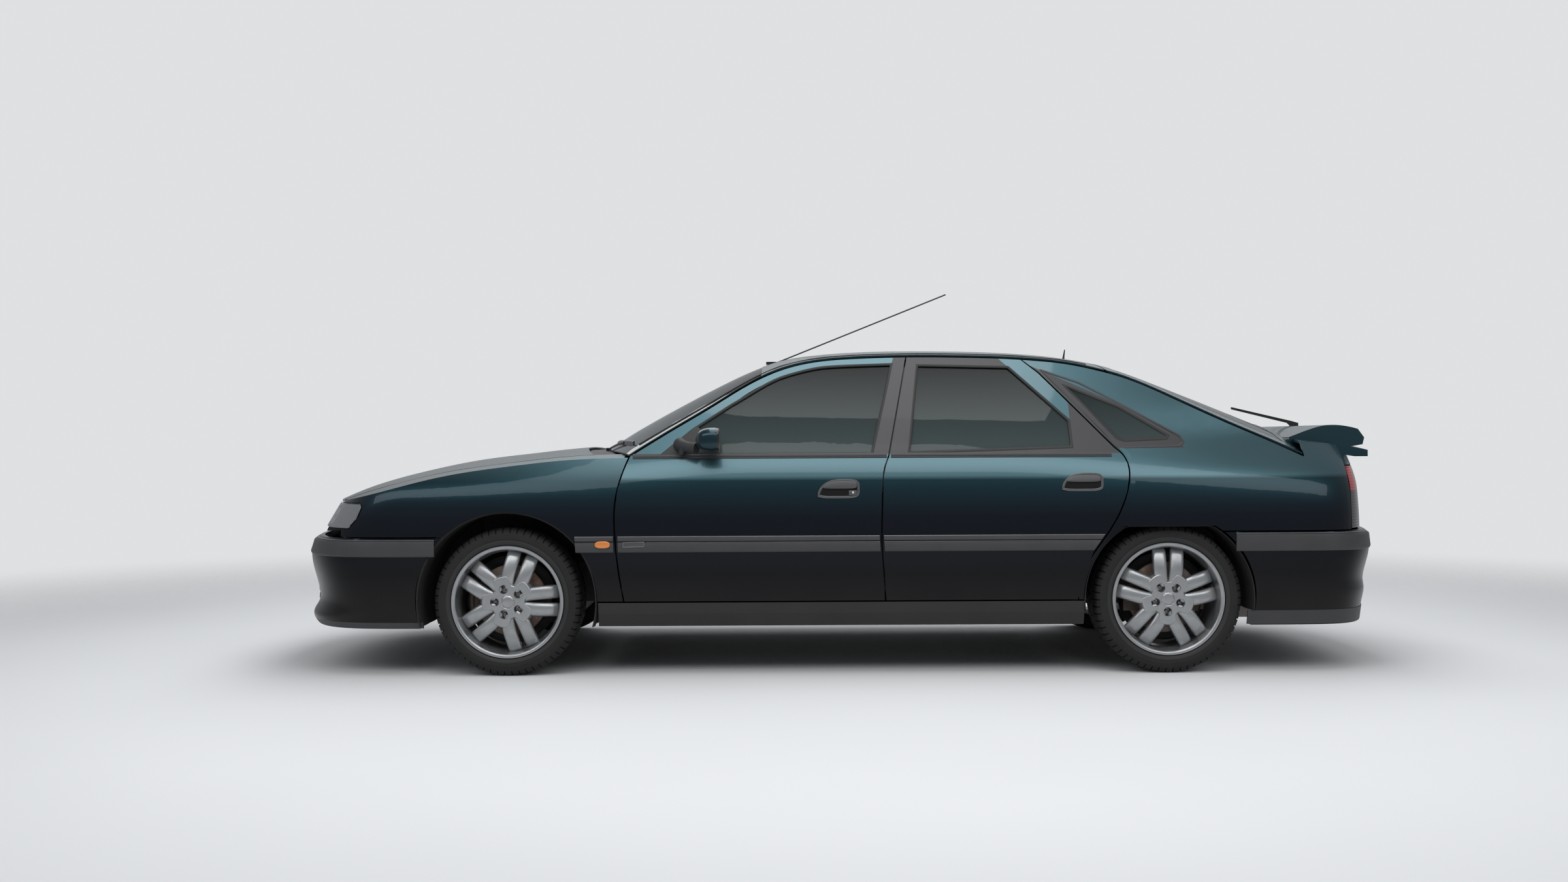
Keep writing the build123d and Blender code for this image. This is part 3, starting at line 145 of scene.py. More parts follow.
def corner_share(x, z):
    """Share of the half width left at x, where the nose and the tail round off."""
    front = np.clip((-x - BARREL_X) / through(z, NOSE_REACH), 0, 1)
    rear = np.clip((x - BARREL_X) / through(z, TAIL_REACH), 0, 1)
    return np.sqrt(np.maximum(0, 1 - front**NOSE_POWER - rear**TAIL_POWER))


def on_side(x, z, out, side):
    """Points that stand a distance out from the body side, at x and z."""
    return grid(x, SIDES[side] * (side_y(x, z) * corner_share(x, z) + out), z)


def roof_z(x, y):
    """Height of the windscreen, roof and hatch surface."""
    return through(x, ROOF_LINE) - through(x, ROOF_CROWN) * y**2


def end_path(z, out, reaches, way, side_x, count):
    """A level line round the nose or the tail, from left to right, evenly spaced by length.

    In plan y = half * sin(a) and x = 1500 + reach * cos(a) ^ (2 / power), then moved out along
    its normal. way is -1 at the nose and 1 at the tail; the line starts at side_x on each side.
    """
    power = NOSE_POWER if way < 0 else TAIL_POWER
    reach = through(z, reaches)
    start = ((abs(side_x) - BARREL_X) / reach) ** (power / 2)
    last = math.acos(min(1, max(0, start)))
    a = np.linspace(-last, last, 4001)
    x = way * (BARREL_X + reach * np.cos(a) ** (2 / power))
    y = side_y(x, z) * np.sin(a)
    dx, dy = np.gradient(x), np.gradient(y)
    size = np.hypot(dx, dy)
    x, y = x + way * out * dy / size, y - way * out * dx / size
    along = np.concatenate([[0], np.cumsum(np.hypot(np.diff(x), np.diff(y)))])
    even = np.linspace(0, along[-1], count)
    return grid(np.interp(even, along, x), np.interp(even, along, y), z)


# ---- meshes as whole arrays
def grid_quads(rows, cols, wrap=False):
    """Faces of a grid of points; wrap joins the last column to the first."""
    r = np.arange(rows - 1)[:, None] * cols
    c = np.arange(cols if wrap else cols - 1)[None, :]
    d = (c + 1) % cols
    return np.stack([r + c, r + d, r + cols + d, r + cols + c], -1).reshape(-1, 4)


def outward(verts, quads, tris):
    """The same closed shell with its faces turned outwards, by the sign of its volume."""
    corners = np.concatenate([quads[:, [0, 1, 2]], quads[:, [0, 2, 3]], tris])
    a, b, c = (verts[corners[:, k]] - verts.mean(0) for k in range(3))
    if np.einsum("ij,ij->i", a, np.cross(b, c)).sum() < 0:
        quads, tris = quads[:, ::-1], tris[:, ::-1]
    return verts, quads, tris


def loft(rings, loop=False):
    """A closed tube through rings of points, its ends capped by fans unless it closes on itself."""
    count, size, _ = rings.shape
    verts = rings.reshape(-1, 3)
    quads = grid_quads(count, size, wrap=True)
    tris = NO_TRIS
    here = np.arange(size)
    there = (here + 1) % size
    last = (count - 1) * size
    if loop:
        quads = np.concatenate([quads, np.stack([last + here, last + there, there, here], -1)])
    else:
        verts = np.concatenate([verts, rings[[0, -1]].mean(1)])
        first = np.stack([there, here, np.full(size, count * size)], -1)
        final = np.stack([last + here, last + there, np.full(size, count * size + 1)], -1)
        tris = np.concatenate([first, final])
    return outward(verts, quads, tris)


def sheet(outer, inner):
    """A closed sheet between two grids of points."""
    rings = np.concatenate([outer, inner[:, ::-1]], axis=1)
    rows, cols, _ = rings.shape
    verts = rings.reshape(-1, 3)
    half = outer.shape[1]
    quads = grid_quads(rows, cols, wrap=True)
    c = np.arange(half - 1)
    first = np.stack([c + 1, c, cols - 1 - c, cols - 2 - c], -1)
    final = (rows - 1) * cols + np.stack([c, c + 1, cols - 2 - c, cols - 1 - c], -1)
    return outward(verts, np.concatenate([quads, first, final]), NO_TRIS)


def join(*meshes):
    """Several shells as one mesh."""
    sizes = np.cumsum([0] + [len(m[0]) for m in meshes])
    return (
        np.concatenate([m[0] for m in meshes]),
        np.concatenate([m[1] + n for m, n in zip(meshes, sizes)]),
        np.concatenate([m[2] + n for m, n in zip(meshes, sizes)]),
    )


def flipped(mesh):
    """The mirror image across the middle of the car."""
    verts, quads, tris = mesh
    return verts * [1, -1, 1], quads[:, ::-1], tris[:, ::-1]


def on(side, mesh):
    """A left-hand mesh, or its mirror image for the right."""
    return mesh if side == "left" else flipped(mesh)


def piece(name, body, mesh, material, replaces=(), sharp=40, subdivide=0):
    """A finished piece of the car, riding on a body."""
    verts, quads, tris = mesh
    data = bpy.data.meshes.new(name)
    data.from_pydata((verts * MM).tolist(), [], quads.tolist() + tris.tolist())
    data.materials.append(material)
    data.shade_smooth()
    data.set_sharp_from_angle(angle=math.radians(sharp))
    made = bpy.data.objects.new(name, data)
    bpy.context.scene.collection.objects.link(made)
    if subdivide:
        soft = made.modifiers.new("soft", "SUBSURF")
        soft.levels = subdivide
        soft.render_levels = subdivide
    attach(made, body)
    if replaces:
        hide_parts(*replaces)
    return made


def outline(points, step=25):
    """A closed outline in side view, divided evenly between its corners."""
    points = np.array(points, float)
    runs = []
    for a, b in zip(points, np.roll(points, -1, 0)):
        count = max(1, round(np.hypot(*(b - a)) / step))
        runs.append(a + (b - a) * np.arange(count)[:, None] / count)
    return np.concatenate(runs)


def grown(points, amount):
    """A closed outline moved outwards along its mitred normals."""
    back, ahead = points - np.roll(points, 1, 0), np.roll(points, -1, 0) - points
    area = (points[:, 0] * np.roll(points[:, 1], -1) - np.roll(points[:, 0], -1) * points[:, 1]).sum()
    turn = np.sign(area)
    normals = [np.stack([d[:, 1], -d[:, 0]], -1) / np.hypot(*d.T)[:, None] * turn for d in (back, ahead)]
    middle = normals[0] + normals[1]
    size = np.hypot(*middle.T)[:, None]
    cosine = np.maximum(size / 2, 0.45)
    return points + amount * middle / size / cosine


def side_ring(points, section, side):
    """A closed bead on the body side: section is (grow, out) pairs carried round an outline."""
    rings = [on_side(*grown(points, grow).T, out, side) for grow, out in section]
    return loft(np.stack(rings, 1), loop=True)


def side_pad(points, rise, side, rounds=((0, 0.0), (0.6, 0.6), (2.0, 0.9), (5.0, 1.0)), foot=-1.0):
    """A filled, softly edged pad on the body side: outline rings shrink as they rise, then a flat fan."""
    rings = [on_side(*grown(points, 0).T, foot, side)]
    for inset, share in rounds:
        rings.append(on_side(*grown(points, -inset).T, rise * share, side))
    return loft(np.stack(rings))


def superellipse(count, power):
    """Unit closed curve between a circle (2) and a square (large), as (across, up) columns."""
    c, s = np.cos(circle(count)), np.sin(circle(count))
    return np.stack([np.sign(c) * abs(c) ** (2 / power), np.sign(s) * abs(s) ** (2 / power)], -1)


def oval_block(centre, size, power=4.0, rows=9, cols=32, ends=4.0):
    """A rounded block: superellipse rings whose size falls off towards both ends along x."""
    t = np.sin(np.linspace(-math.pi / 2, math.pi / 2, rows)) * 0.998
    share = (1 - abs(t) ** ends) ** (1 / ends)
    ring = superellipse(cols, power)
    y = share[:, None] * ring[None, :, 0] * size[1] / 2
    z = share[:, None] * ring[None, :, 1] * size[2] / 2
    return loft(grid(t[:, None] * size[0] / 2, y, z) + centre)


def tube(path, radius, count=10):
    """A round bar along a path of points, with radius a number or one value a point."""
    path = np.array(path, float)
    ahead = np.gradient(path, axis=0)
    ahead /= np.linalg.norm(ahead, axis=1)[:, None]
    helper = np.where(abs(ahead[:, 1:2]) < 0.9, [[0.0, 1, 0]], [[0.0, 0, 1]])
    across = np.cross(ahead, helper)
    across /= np.linalg.norm(across, axis=1)[:, None]
    up = np.cross(across, ahead)
    a = circle(count)[None, :, None]
    r = np.broadcast_to(radius, len(path))[:, None, None]
    ring = across[:, None] * np.cos(a) + up[:, None] * np.sin(a)
    return loft(path[:, None] + r * ring)


# ---- materials
def operator(operation, swap=False, clamp=False):
    """A method of Socket that adds one Math node."""
    def apply(self, other=0.0):
        first, second = (other, self) if swap else (self, other)
        settings = {"operation": operation, "use_clamp": clamp}
        return self.owner.node("ShaderNodeMath", settings, {0: first, 1: second})
    return apply


class Socket:
    """A shader value that can be written in sums."""

    def __init__(self, owner, socket):
        self.owner = owner
        self.socket = socket

    __add__ = __radd__ = operator("ADD")
    __mul__ = __rmul__ = operator("MULTIPLY")
    __sub__ = operator("SUBTRACT")
    __rsub__ = operator("SUBTRACT", swap=True)
    least = operator("MINIMUM")
    most = operator("MAXIMUM")
    clamped = operator("ADD", clamp=True)
    size = operator("ABSOLUTE")
    root = operator("SQRT")
    sine = operator("SINE")

    def __neg__(self):
        return 0.0 - self

    def ramp(self, start, gain):
        """0 up to start, then rising to 1 by gain a unit."""
        return ((self - start) * gain).clamped()

    def wave(self, pace):
        """A sine wave between 0 and 1, with pace radians to the metre."""
        return ((self * pace).sine() * 0.5 + 0.5).clamped()


class Finish:
    """A material made of one Principled shader and the nodes that feed it."""

    def __init__(self, name, **constants):
        self.material = bpy.data.materials.new(name)
        self.material.use_nodes = True
        self.tree = self.material.node_tree
        self.shader = next(n for n in self.tree.nodes if n.type == "BSDF_PRINCIPLED")
        for socket, value in constants.items():
            self.shader.inputs[socket.replace("_", " ")].default_value = value
        self.place = self.node("ShaderNodeTexCoord", output="Object")

    def node(self, kind, settings=None, inputs=None, output=0):
        """Any node: its settings first, then values or links for its sockets."""
        made = self.tree.nodes.new(kind)
        for key, value in (settings or {}).items():
            setattr(made, key, value)
        for key, value in (inputs or {}).items():
            if isinstance(value, Socket):
                self.tree.links.new(value.socket, made.inputs[key])
            else:
                made.inputs[key].default_value = value
        return Socket(self, made.outputs[output])

    def axes(self):
        """The x, y and z of the point, in metres."""
        split = self.tree.nodes.new("ShaderNodeSeparateXYZ")
        self.tree.links.new(self.place.socket, split.inputs[0])
        return [Socket(self, o) for o in split.outputs]

    def noise(self, scale, detail=2.0, rough=0.5):
        """Soft noise about 0.5, with scale features to the metre."""
        sockets = {"Vector": self.place, "Scale": scale, "Detail": detail, "Roughness": rough}
        return self.node("ShaderNodeTexNoise", {}, sockets)

    def cells(self, scale):
        """Distance to the middle of a cell."""
        return self.node("ShaderNodeTexVoronoi", {}, {"Vector": self.place, "Scale": scale})

    def mix(self, share, first, second):
        """Colour between two others, each a value or an (r, g, b) tone."""
        first, second = ((*c, 1.0) if isinstance(c, tuple) else c for c in (first, second))
        return self.node("ShaderNodeMix", {"data_type": "RGBA"}, {0: share, 6: first, 7: second}, output=2)

    def done(self, colour, relief=None, **more):
        """The material, fed with a colour, a relief (height, strength, distance) and more by name."""
        if relief:
            sockets = dict(zip(("Height", "Strength", "Distance"), relief))
            more["Normal"] = self.node("ShaderNodeBump", {}, sockets)
        for name, value in {"Base_Color": colour, **more}.items():
            self.tree.links.new(value.socket, self.shader.inputs[name.replace("_", " ")])
        return self.material


def grained(name, first, second, scale, roughness, unevenness, grain, relief, **constants):
    """A moulded, cast or woven surface: two tones, uneven roughness and a fine grain."""
    made = Finish(name, **constants)
    cloud = made.noise(scale, 4.0)
    colour = made.mix(((cloud - 0.5) * 1.6 + 0.5).clamped(), first, second)
    fine = made.noise(grain, 3.0, 0.6)
    return made.done(colour, (fine, relief, 0.0008), Roughness=(cloud - 0.5) * unevenness + roughness)


# paint tones by height: the black and navy are painted shade, the highlight tones are painted highlight over
# the teal
PAINT_SHADE_BLACK = (0.0018, 0.0018, 0.003)
PAINT_SHADE_NAVY = (0.004, 0.0085, 0.018)
PAINT_TEAL = (0.004, 0.027, 0.037)
PAINT_HIGHLIGHT = (0.064, 0.128, 0.15)
PAINT_ROOF_HIGHLIGHT = (0.011, 0.044, 0.057)
CHARCOAL = (0.03, 0.03, 0.033)
ROAD_DUST = (0.036, 0.033, 0.03)
DUST_AND_SHADE_M, SHADE_WAIST_M, HIGHLIGHT_M = 0.42, 0.66, 0.814  # heights where road dust and the darkest painted shade end, painted shade turns to teal, and painted highlight starts
RAIL_M = 0.921  # foot of the pillar covers


def away(axes, p, q):
    """Signed distance in metres from the line p to q in side view, positive on its right."""
    (px, pz), (qx, qz) = p, q
    size = math.hypot(qx - px, qz - pz)
    a, b = (qz - pz) / size, -(qx - px) / size
    return axes[0] * a + axes[2] * b - (a * px + b * pz) * MM


def painted(name, cover=None, highlight_tone=PAINT_HIGHLIGHT, edge=60.0):
    """Metallic paint with painted shade and painted highlight by height: near black at the sill, navy, teal,
    then its highlight.

    highlight_tone is the painted highlight above the shoulder line and edge how sharply it starts there.
    cover(axes) gives the distance inside the parts covered by charcoal trim, which are less glossy.
    """
    made = Finish(name, IOR=1.5, Coat_Roughness=0.045)
    axes = made.axes()
    z = axes[2]
    flake = made.cells(1500.0)
    # painted shade darkens the paint low down, and a painted highlight lightens it above the shoulder line
    tone = made.mix(z.ramp(DUST_AND_SHADE_M, 3.0), PAINT_SHADE_BLACK, PAINT_SHADE_NAVY)
    tone = made.mix(z.ramp(SHADE_WAIST_M, 7.0), tone, PAINT_TEAL)
    tone = made.mix(((z - HIGHLIGHT_M) * edge + (flake - 0.5) * 0.15).clamped(), tone, highlight_tone)
    dust = (((DUST_AND_SHADE_M - z) * 5.0).clamped() * made.noise(3.5, 3.0) * 0.5).clamped()
    colour = made.mix(dust, tone, ROAD_DUST)
    rough = 0.28 + flake * 0.1 + dust * 0.4
    coat = 0.25 + z.ramp(0.45, 1.4) * 0.4 - dust * 0.2
    metal = 0.88 - dust * 0.5
    if cover:
        mask = (cover(axes) * 900.0).clamped()
        colour = made.mix(mask, colour, CHARCOAL)
        rough = rough * (1.0 - mask) + mask * 0.42
        coat = coat * (1.0 - mask) + mask * 0.1
        metal = metal * (1.0 - mask)
    orange_peel = (made.noise(220.0, 2.0), 0.015, 0.0006)
    return made.done(colour, orange_peel, Roughness=rough, Coat_Weight=coat, Metallic=metal)


def front_door_cover(axes):
    """The pillar cover behind the front window."""
    return away(axes, (136, 924), (232, 1308)).least(axes[2] - RAIL_M)


def rear_door_cover(axes):
    """The pillar covers before and behind the rear window."""
    ahead = -away(axes, (291, 928), (342, 1303))
    behind = (-away(axes, (974, 1061), (733, 1293))).most(axes[0] - 0.977)
    return ahead.most(behind).least(axes[2] - RAIL_M)


def quarter_cover(axes):
    """The surround of the rear quarter window."""
    top = -away(axes, (1204, 1126), (860, 1284))
    top = top.least(-away(axes, (1443, 990), (1204, 1126)))
    return top.least(1.452 - axes[0]).least(axes[2] - 0.941)


# every paint here carries painted shade low down; the roof, bonnet, tailgate and bumpers get a softer, darker
# painted highlight
paint = painted("paint", highlight_tone=PAINT_ROOF_HIGHLIGHT, edge=7.0)
paint_wing = painted("paint_wing", edge=9.0)
paint_cap = painted("paint_mirror", highlight_tone=PAINT_TEAL)
paint_front_door = painted("paint_front_door", front_door_cover)
paint_rear_door = painted("paint_rear_door", rear_door_cover)
paint_quarter = painted("paint_quarter", quarter_cover)
# name, two tones, cloud scale, roughness and its spread, grain scale, grain strength, constants
charcoal = grained("charcoal_plastic", CHARCOAL, (0.04, 0.04, 0.043), 9, 0.52, 0.12, 900, 0.35)
gloss_black = grained("gloss_black", (0.01, 0.01, 0.011), (0.014, 0.014, 0.015), 12, 0.22, 0.1, 300, 0.05)
black_plastic = grained(
    "black_plastic", (0.016, 0.016, 0.017), (0.024, 0.024, 0.025), 11, 0.58, 0.15, 700, 0.4
)
rubber = grained("seal_rubber", (0.01, 0.01, 0.01), (0.016, 0.016, 0.016), 20, 0.62, 0.12, 500, 0.3)
liner = grained("arch_liner", (0.012, 0.012, 0.012), (0.022, 0.021, 0.02), 14, 0.85, 0.1, 320, 0.8)
skirt_grey = grained(
    "skirt_grey", (0.012, 0.011, 0.012), (0.022, 0.02, 0.02), 6, 0.4, 0.2, 500, 0.15,
    Metallic=0.45, Coat_Weight=0.3,
)
handle_grey = grained("handle_grey", (0.05, 0.05, 0.054), (0.062, 0.062, 0.066), 20, 0.36, 0.1, 700, 0.12)
# near black for the hollow behind each door handle: its dark plastic together with painted shade
recess_shade = grained(
    "recess_shade", (0.0035, 0.0035, 0.004), (0.005, 0.005, 0.0055), 20, 0.7, 0.1, 700, 0.1,
    Specular_IOR_Level=0.2,
)
line_trim = grained(
    "trim_line", (0.12, 0.12, 0.125), (0.16, 0.16, 0.165), 30, 0.32, 0.12, 600, 0.08, Metallic=0.3
)
bright = grained(
    "bright_trim", (0.5, 0.51, 0.52), (0.62, 0.63, 0.64), 30, 0.26, 0.12, 600, 0.08, Metallic=1.0
)
cast_iron = grained(
    "cast_iron", (0.045, 0.038, 0.034), (0.09, 0.065, 0.05), 30, 0.68, 0.2, 260, 0.7, Metallic=0.6
)
engine_grey = grained(
    "engine_casting", (0.05, 0.05, 0.052), (0.085, 0.084, 0.083), 18, 0.55, 0.2, 200, 0.6, Metallic=0.7
)
steel = grained(
    "exhaust_steel", (0.16, 0.15, 0.14), (0.25, 0.22, 0.19), 12, 0.45, 0.25, 300, 0.25, Metallic=1.0
)
underbody = grained("underbody", (0.014, 0.015, 0.016), (0.026, 0.026, 0.027), 7, 0.72, 0.2, 180, 0.6)
cabin_trim = grained("cabin_trim", (0.022, 0.022, 0.024), (0.034, 0.033, 0.035), 12, 0.7, 0.15, 600, 0.5)
plate = grained("plate_blank", (0.58, 0.58, 0.54), (0.66, 0.66, 0.62), 20, 0.38, 0.1, 900, 0.06)
reflector = grained(
    "reflector", (0.42, 0.43, 0.44), (0.55, 0.56, 0.57), 18, 0.16, 0.06, 90, 0.2, Metallic=1.0
)


def wheel_silver():
    """Silver wheel lacquer with fine flakes and a little brake dust in clouds."""
    made = Finish("wheel_silver", Coat_Weight=0.6, Coat_Roughness=0.12)
    cloud = made.noise(26.0, 4.0)
    dust = cloud.ramp(0.42, 2.2)
    tone = made.mix((made.cells(1800.0) * 0.6 + 0.2).clamped(), (0.27, 0.28, 0.29), (0.4, 0.41, 0.42))
    colour = made.mix(dust * 0.35, tone, (0.12, 0.105, 0.09))
    rough = 0.3 + dust * 0.18
    return made.done(colour, (cloud, 0.04, 0.0006), Roughness=rough, Metallic=0.82 - dust * 0.3)


def rusty_disc():
    """Brake disc: worn steel with a thin orange bloom of rust."""
    made = Finish("brake_disc")
    rust = made.noise(22.0, 6.0, 0.65).ramp(0.38, 3.0)
    colour = made.mix(rust, (0.24, 0.22, 0.2), (0.2, 0.085, 0.04))
    pits = (made.noise(160.0, 4.0), 0.35, 0.0008)
    return made.done(colour, pits, Metallic=0.85 - rust * 0.6, Roughness=0.42 + rust * 0.3)


def tyre_rubber():
    """Tyre rubber, greyer with dust, with a fine grain."""
    made = Finish("tyre_rubber", Specular_IOR_Level=0.35)
    cloud = made.noise(14.0, 5.0, 0.6)
    colour = made.mix(cloud.ramp(0.35, 1.6), (0.0075, 0.0075, 0.008), (0.017, 0.0165, 0.016))
    return made.done(colour, (made.noise(420.0, 3.0), 0.35, 0.0007), Roughness=0.66 + (cloud - 0.5) * 0.25)


def window_glass(name, alpha, tone):
    """Dark tinted safety glass with painted shade that darkens it towards its top, and a touch uneven."""
    made = Finish(name, IOR=1.52, Alpha=alpha, Specular_IOR_Level=0.16, Coat_Roughness=0.01)
    # painted shade: the colour falls to an eighth towards the top
    height = made.axes()[2].ramp(0.93, 2.7)
    colour = made.mix(height, tone, tuple(c * 0.12 for c in tone))
    return made.done(colour, Coat_Weight=(1.0 - height) * 0.35, Roughness=made.noise(3.0) * 0.01 + 0.01)


def lamp_glass(name, tone, alpha, flutes):
    """Moulded lamp lens with upright flutes on its face."""
    made = Finish(name, IOR=1.5, Alpha=alpha, Coat_Weight=1.0, Coat_Roughness=0.02)
    wave = made.axes()[1].wave(flutes)
    colour = made.mix(wave * 0.5, tone, tuple(min(1.0, c * 1.5) for c in tone))
    return made.done(colour, (wave, 0.45, 0.002), Roughness=0.06 + made.noise(40.0) * 0.05)


def lamp_bowls():
    """Headlamp inside: two bright bowls with dark rims and bulbs on a grey fluted ground."""
    made = Finish("lamp_bowls", Metallic=1.0)
    _, y, z = made.axes()
    across = y.size()
    flutes = y.wave(1100.0)
    tone = made.mix(flutes, (0.26, 0.27, 0.28), (0.48, 0.49, 0.5))
    for middle, size in ((0.56, 0.036), (0.69, 0.038)):
        u, v = across - middle, z - 0.668
        far = (u * u + v * v).root()
        rings = (
            (size + 0.005, (0.012, 0.012, 0.013)),
            (size, (0.62, 0.63, 0.64)),
            (0.011, (0.06, 0.055, 0.05)),
        )
        for reach, ring_tone in rings:
            tone = made.mix(((reach - far) * 700.0).clamped(), tone, ring_tone)
    return made.done(tone, (flutes, 0.3, 0.002), Roughness=flutes * 0.08 + 0.16)


def tail_lens():
    """Tail lamp: red above, smoked below, with level ribs."""
    made = Finish("tail_lens", IOR=1.5, Coat_Weight=0.25, Coat_Roughness=0.03)
    z = made.axes()[2]
    rib = z.wave(520.0)
    low = made.mix(rib, (0.008, 0.005, 0.005), (0.018, 0.008, 0.008))
    high = made.mix(rib, (0.24, 0.004, 0.004), (0.42, 0.008, 0.007))
    colour = made.mix(z.ramp(0.757, 300.0), low, high)
    return made.done(colour, (rib, 0.5, 0.002), Roughness=made.noise(30.0) * 0.06 + 0.08)


def cloth(name, first, second, weave):
    """Woven seat cloth: two crossed sine waves with a soft change of tone."""
    made = Finish(name, Specular_IOR_Level=0.25, Sheen_Weight=0.3)
    x, y, z = made.axes()
    knit = ((y * weave).sine() * ((x + z) * weave).sine() * 0.5 + 0.5).clamped()
    cloud = made.noise(9.0, 3.0)
    colour = made.mix((knit * 0.6 + cloud * 0.4).clamped(), first, second)
    return made.done(colour, (knit, 0.5, 0.0012), Roughness=0.82 + cloud * 0.1)


silver = wheel_silver()
disc_rust = rusty_disc()
rubber_tyre = tyre_rubber()
glass = window_glass("window_glass", 0.88, (0.052, 0.07, 0.07))
lens_clear = lamp_glass("lens_clear", (0.24, 0.25, 0.26), 0.3, 900.0)
lens_amber = lamp_glass("lens_amber", (0.52, 0.16, 0.02), 1.0, 1400.0)
lamp_inside = lamp_bowls()
lens_tail = tail_lens()
seat_cloth = cloth("seat_cloth", (0.06, 0.06, 0.066), (0.105, 0.105, 0.112), 2100.0)
seat_side = cloth("seat_side_cloth", (0.036, 0.036, 0.04), (0.06, 0.06, 0.066), 2600.0)


# ---- solids that keep their shape
FINISHES = [
    (paint, "roof bonnet tailgate front_bumper rear_bumper"),
    (paint_wing, "front_wing"),
    (paint_front_door, "front_door"),
    (paint_rear_door, "rear_door"),
    (paint_quarter, "rear_quarter"),
    (skirt_grey, "side_skirt"),
    (glass, "front_door_glass rear_door_glass quarter_glass windscreen tailgate_glass"),
    (black_plastic, "scuttle mirror"),
    (gloss_black, "side_frame grille aerial front_wipers rear_wiper"),
    (lamp_inside, "headlamp"),
    (lens_tail, "tail_lamp"),
    (underbody, "floor_pan front_frame"),
    (engine_grey, "engine"),
    (cast_iron, "knuckle front_axle rear_axle"),
    (steel, "exhaust"),
    (cabin_trim, "dashboard steering_wheel"),
    (seat_cloth, "front_seat rear_seat"),
    (rubber_tyre, "tyre"),
    (silver, "rim"),
]
KINDS = {kind: finish for finish, kinds in FINISHES for kind in kinds.split()}
for node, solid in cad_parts.items():
    kind = max((k for k in KINDS if node.startswith(k)), key=len)
    for holder in solid.material_slots:
        holder.material = KINDS[kind]


# ---- door skins and the frame behind them
SHUT_HALF = 3.45  # half the width of a shut line
SKIN_LOW, SKIN_HIGH = 312.5, 921
SKIN_OUT, SKIN_IN = 0.8, -1.5
RING_IN = 2.2  # how far the body ring keeps inside the side surface
HINGE_X = (-873.75, 235.25)
HINGE_Y = 885.0
PIN_REACH = 8.5
PIN_SHARE = 0.18  # of the pins' thickness, kept so that they stay hidden
LEAD_LINE = [(309, -904), (441, -925), (560, -937), (748, -935), (832, -914), (926, -878)]
PILLAR_LINE = [(309, 188), (433, 180), (560, 172), (742, 176), (850, 184), (913, 205), (926, 209)]
REAR_LINE = [(309, 991), (508, 1054), (590, 1112), (689, 1169), (788, 1202), (870, 1207), (944, 1158)]
DOOR_SKINS = {
    "front_door": (LEAD_LINE, PILLAR_LINE, "door_front_{}", paint_front_door),
    "rear_door": (PILLAR_LINE, REAR_LINE, "door_rear_{}", paint_rear_door),
}


def door_skin(ahead, behind, side):
    """The painted outer face of a door below its window, between two shut lines, on the side surface."""
    z = tall(SKIN_LOW, SKIN_HIGH, 90)
    u = wide(0, 1, 60)
    x0 = through(z, ahead) + SHUT_HALF
    x1 = through(z, behind) - SHUT_HALF
    x = x0 + (x1 - x0) * u
    return sheet(on_side(x, z, SKIN_OUT, side), on_side(x, z, SKIN_IN, side))


def trimmed_frame(side):
    """The body ring with its thinned hinge pins kept just inside the door skins."""
    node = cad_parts[f"side_frame_{side}"]
    made = bpy.data.objects.new(f"body_ring_{side}", node.data.copy())
    bpy.context.scene.collection.objects.link(made)
    points = np.empty(len(made.data.vertices) * 3)
    made.data.vertices.foreach_get("co", points)
    points = points.reshape(-1, 3)
    x, y, z = points.T / MM
    limit = side_y(x, z) * corner_share(x, z) - RING_IN
    y = np.where(abs(y) > limit, SIDES[side] * limit, y)
    pin_y = SIDES[side] * HINGE_Y
    for pin_x in HINGE_X:
        dx, dy = x - pin_x, y - pin_y
        near = np.hypot(dx, dy) < PIN_REACH
        x = np.where(near, pin_x + dx * PIN_SHARE, x)
        y = np.where(near, pin_y + dy * PIN_SHARE, y)
    points[:] = grid(x, y, z) * MM
    made.data.vertices.foreach_set("co", points.ravel())
    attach(made, "body")
    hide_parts(f"side_frame_{side}")


for side in SIDES:
    trimmed_frame(side)
    for part, (ahead, behind, body, finish) in DOOR_SKINS.items():
        skin = door_skin(ahead, behind, side)
        piece(f"{part}_skin_{side}", body.format(side), skin, finish, sharp=60)


# ---- rub strips along the sides
STRIP_LOW, STRIP_HIGH = 518, 585
STRIP_SECTION = [
    (0.0, -3), (0.0, 4), (0.05, 7), (0.12, 8), (0.55, 8), (0.59, 7), (0.59, 5), (0.64, 5), (0.64, -3),
]
LINE_SECTION = [(0.6, 4.0), (0.6, 6.6), (0.61, 7.6), (0.63, 7.6), (0.64, 6.6), (0.64, 4.0)]
BEVEL_SECTION = [(0.69, -3), (0.69, 6.0), (0.71, 7.6), (0.75, 7.8), (0.96, 5.0), (0.96, -3)]
EDGE_SECTION = [(0.965, -3), (0.965, 5.0), (0.985, 4.6), (1.0, 3.0), (1.0, -3)]
STRIPS = {  # body, then where each strip starts and ends at its foot and its head
    "front_wing": ("body", ((-1101, -1106), (-944, -946))),
    "front_door": ("door_front_{}", ((-925, -927), (166, 162))),
    "rear_door": ("door_rear_{}", ((184, 180), (1052, 1099))),
}
BADGE_END = -806


def side_strip(ends, section, side, rows=40):
    """A moulding along the side: a section of (height share, out) pairs carried between slanted ends."""
    share, out = np.array(section, float).T
    z = STRIP_LOW + share * (STRIP_HIGH - STRIP_LOW)
    (low0, high0), (low1, high1) = ends
    t = tall(0, 1, rows)
    x = (low0 + share * (high0 - low0)) * (1 - t) + (low1 + share * (high1 - low1)) * t
    return loft(on_side(x, z, out, side))


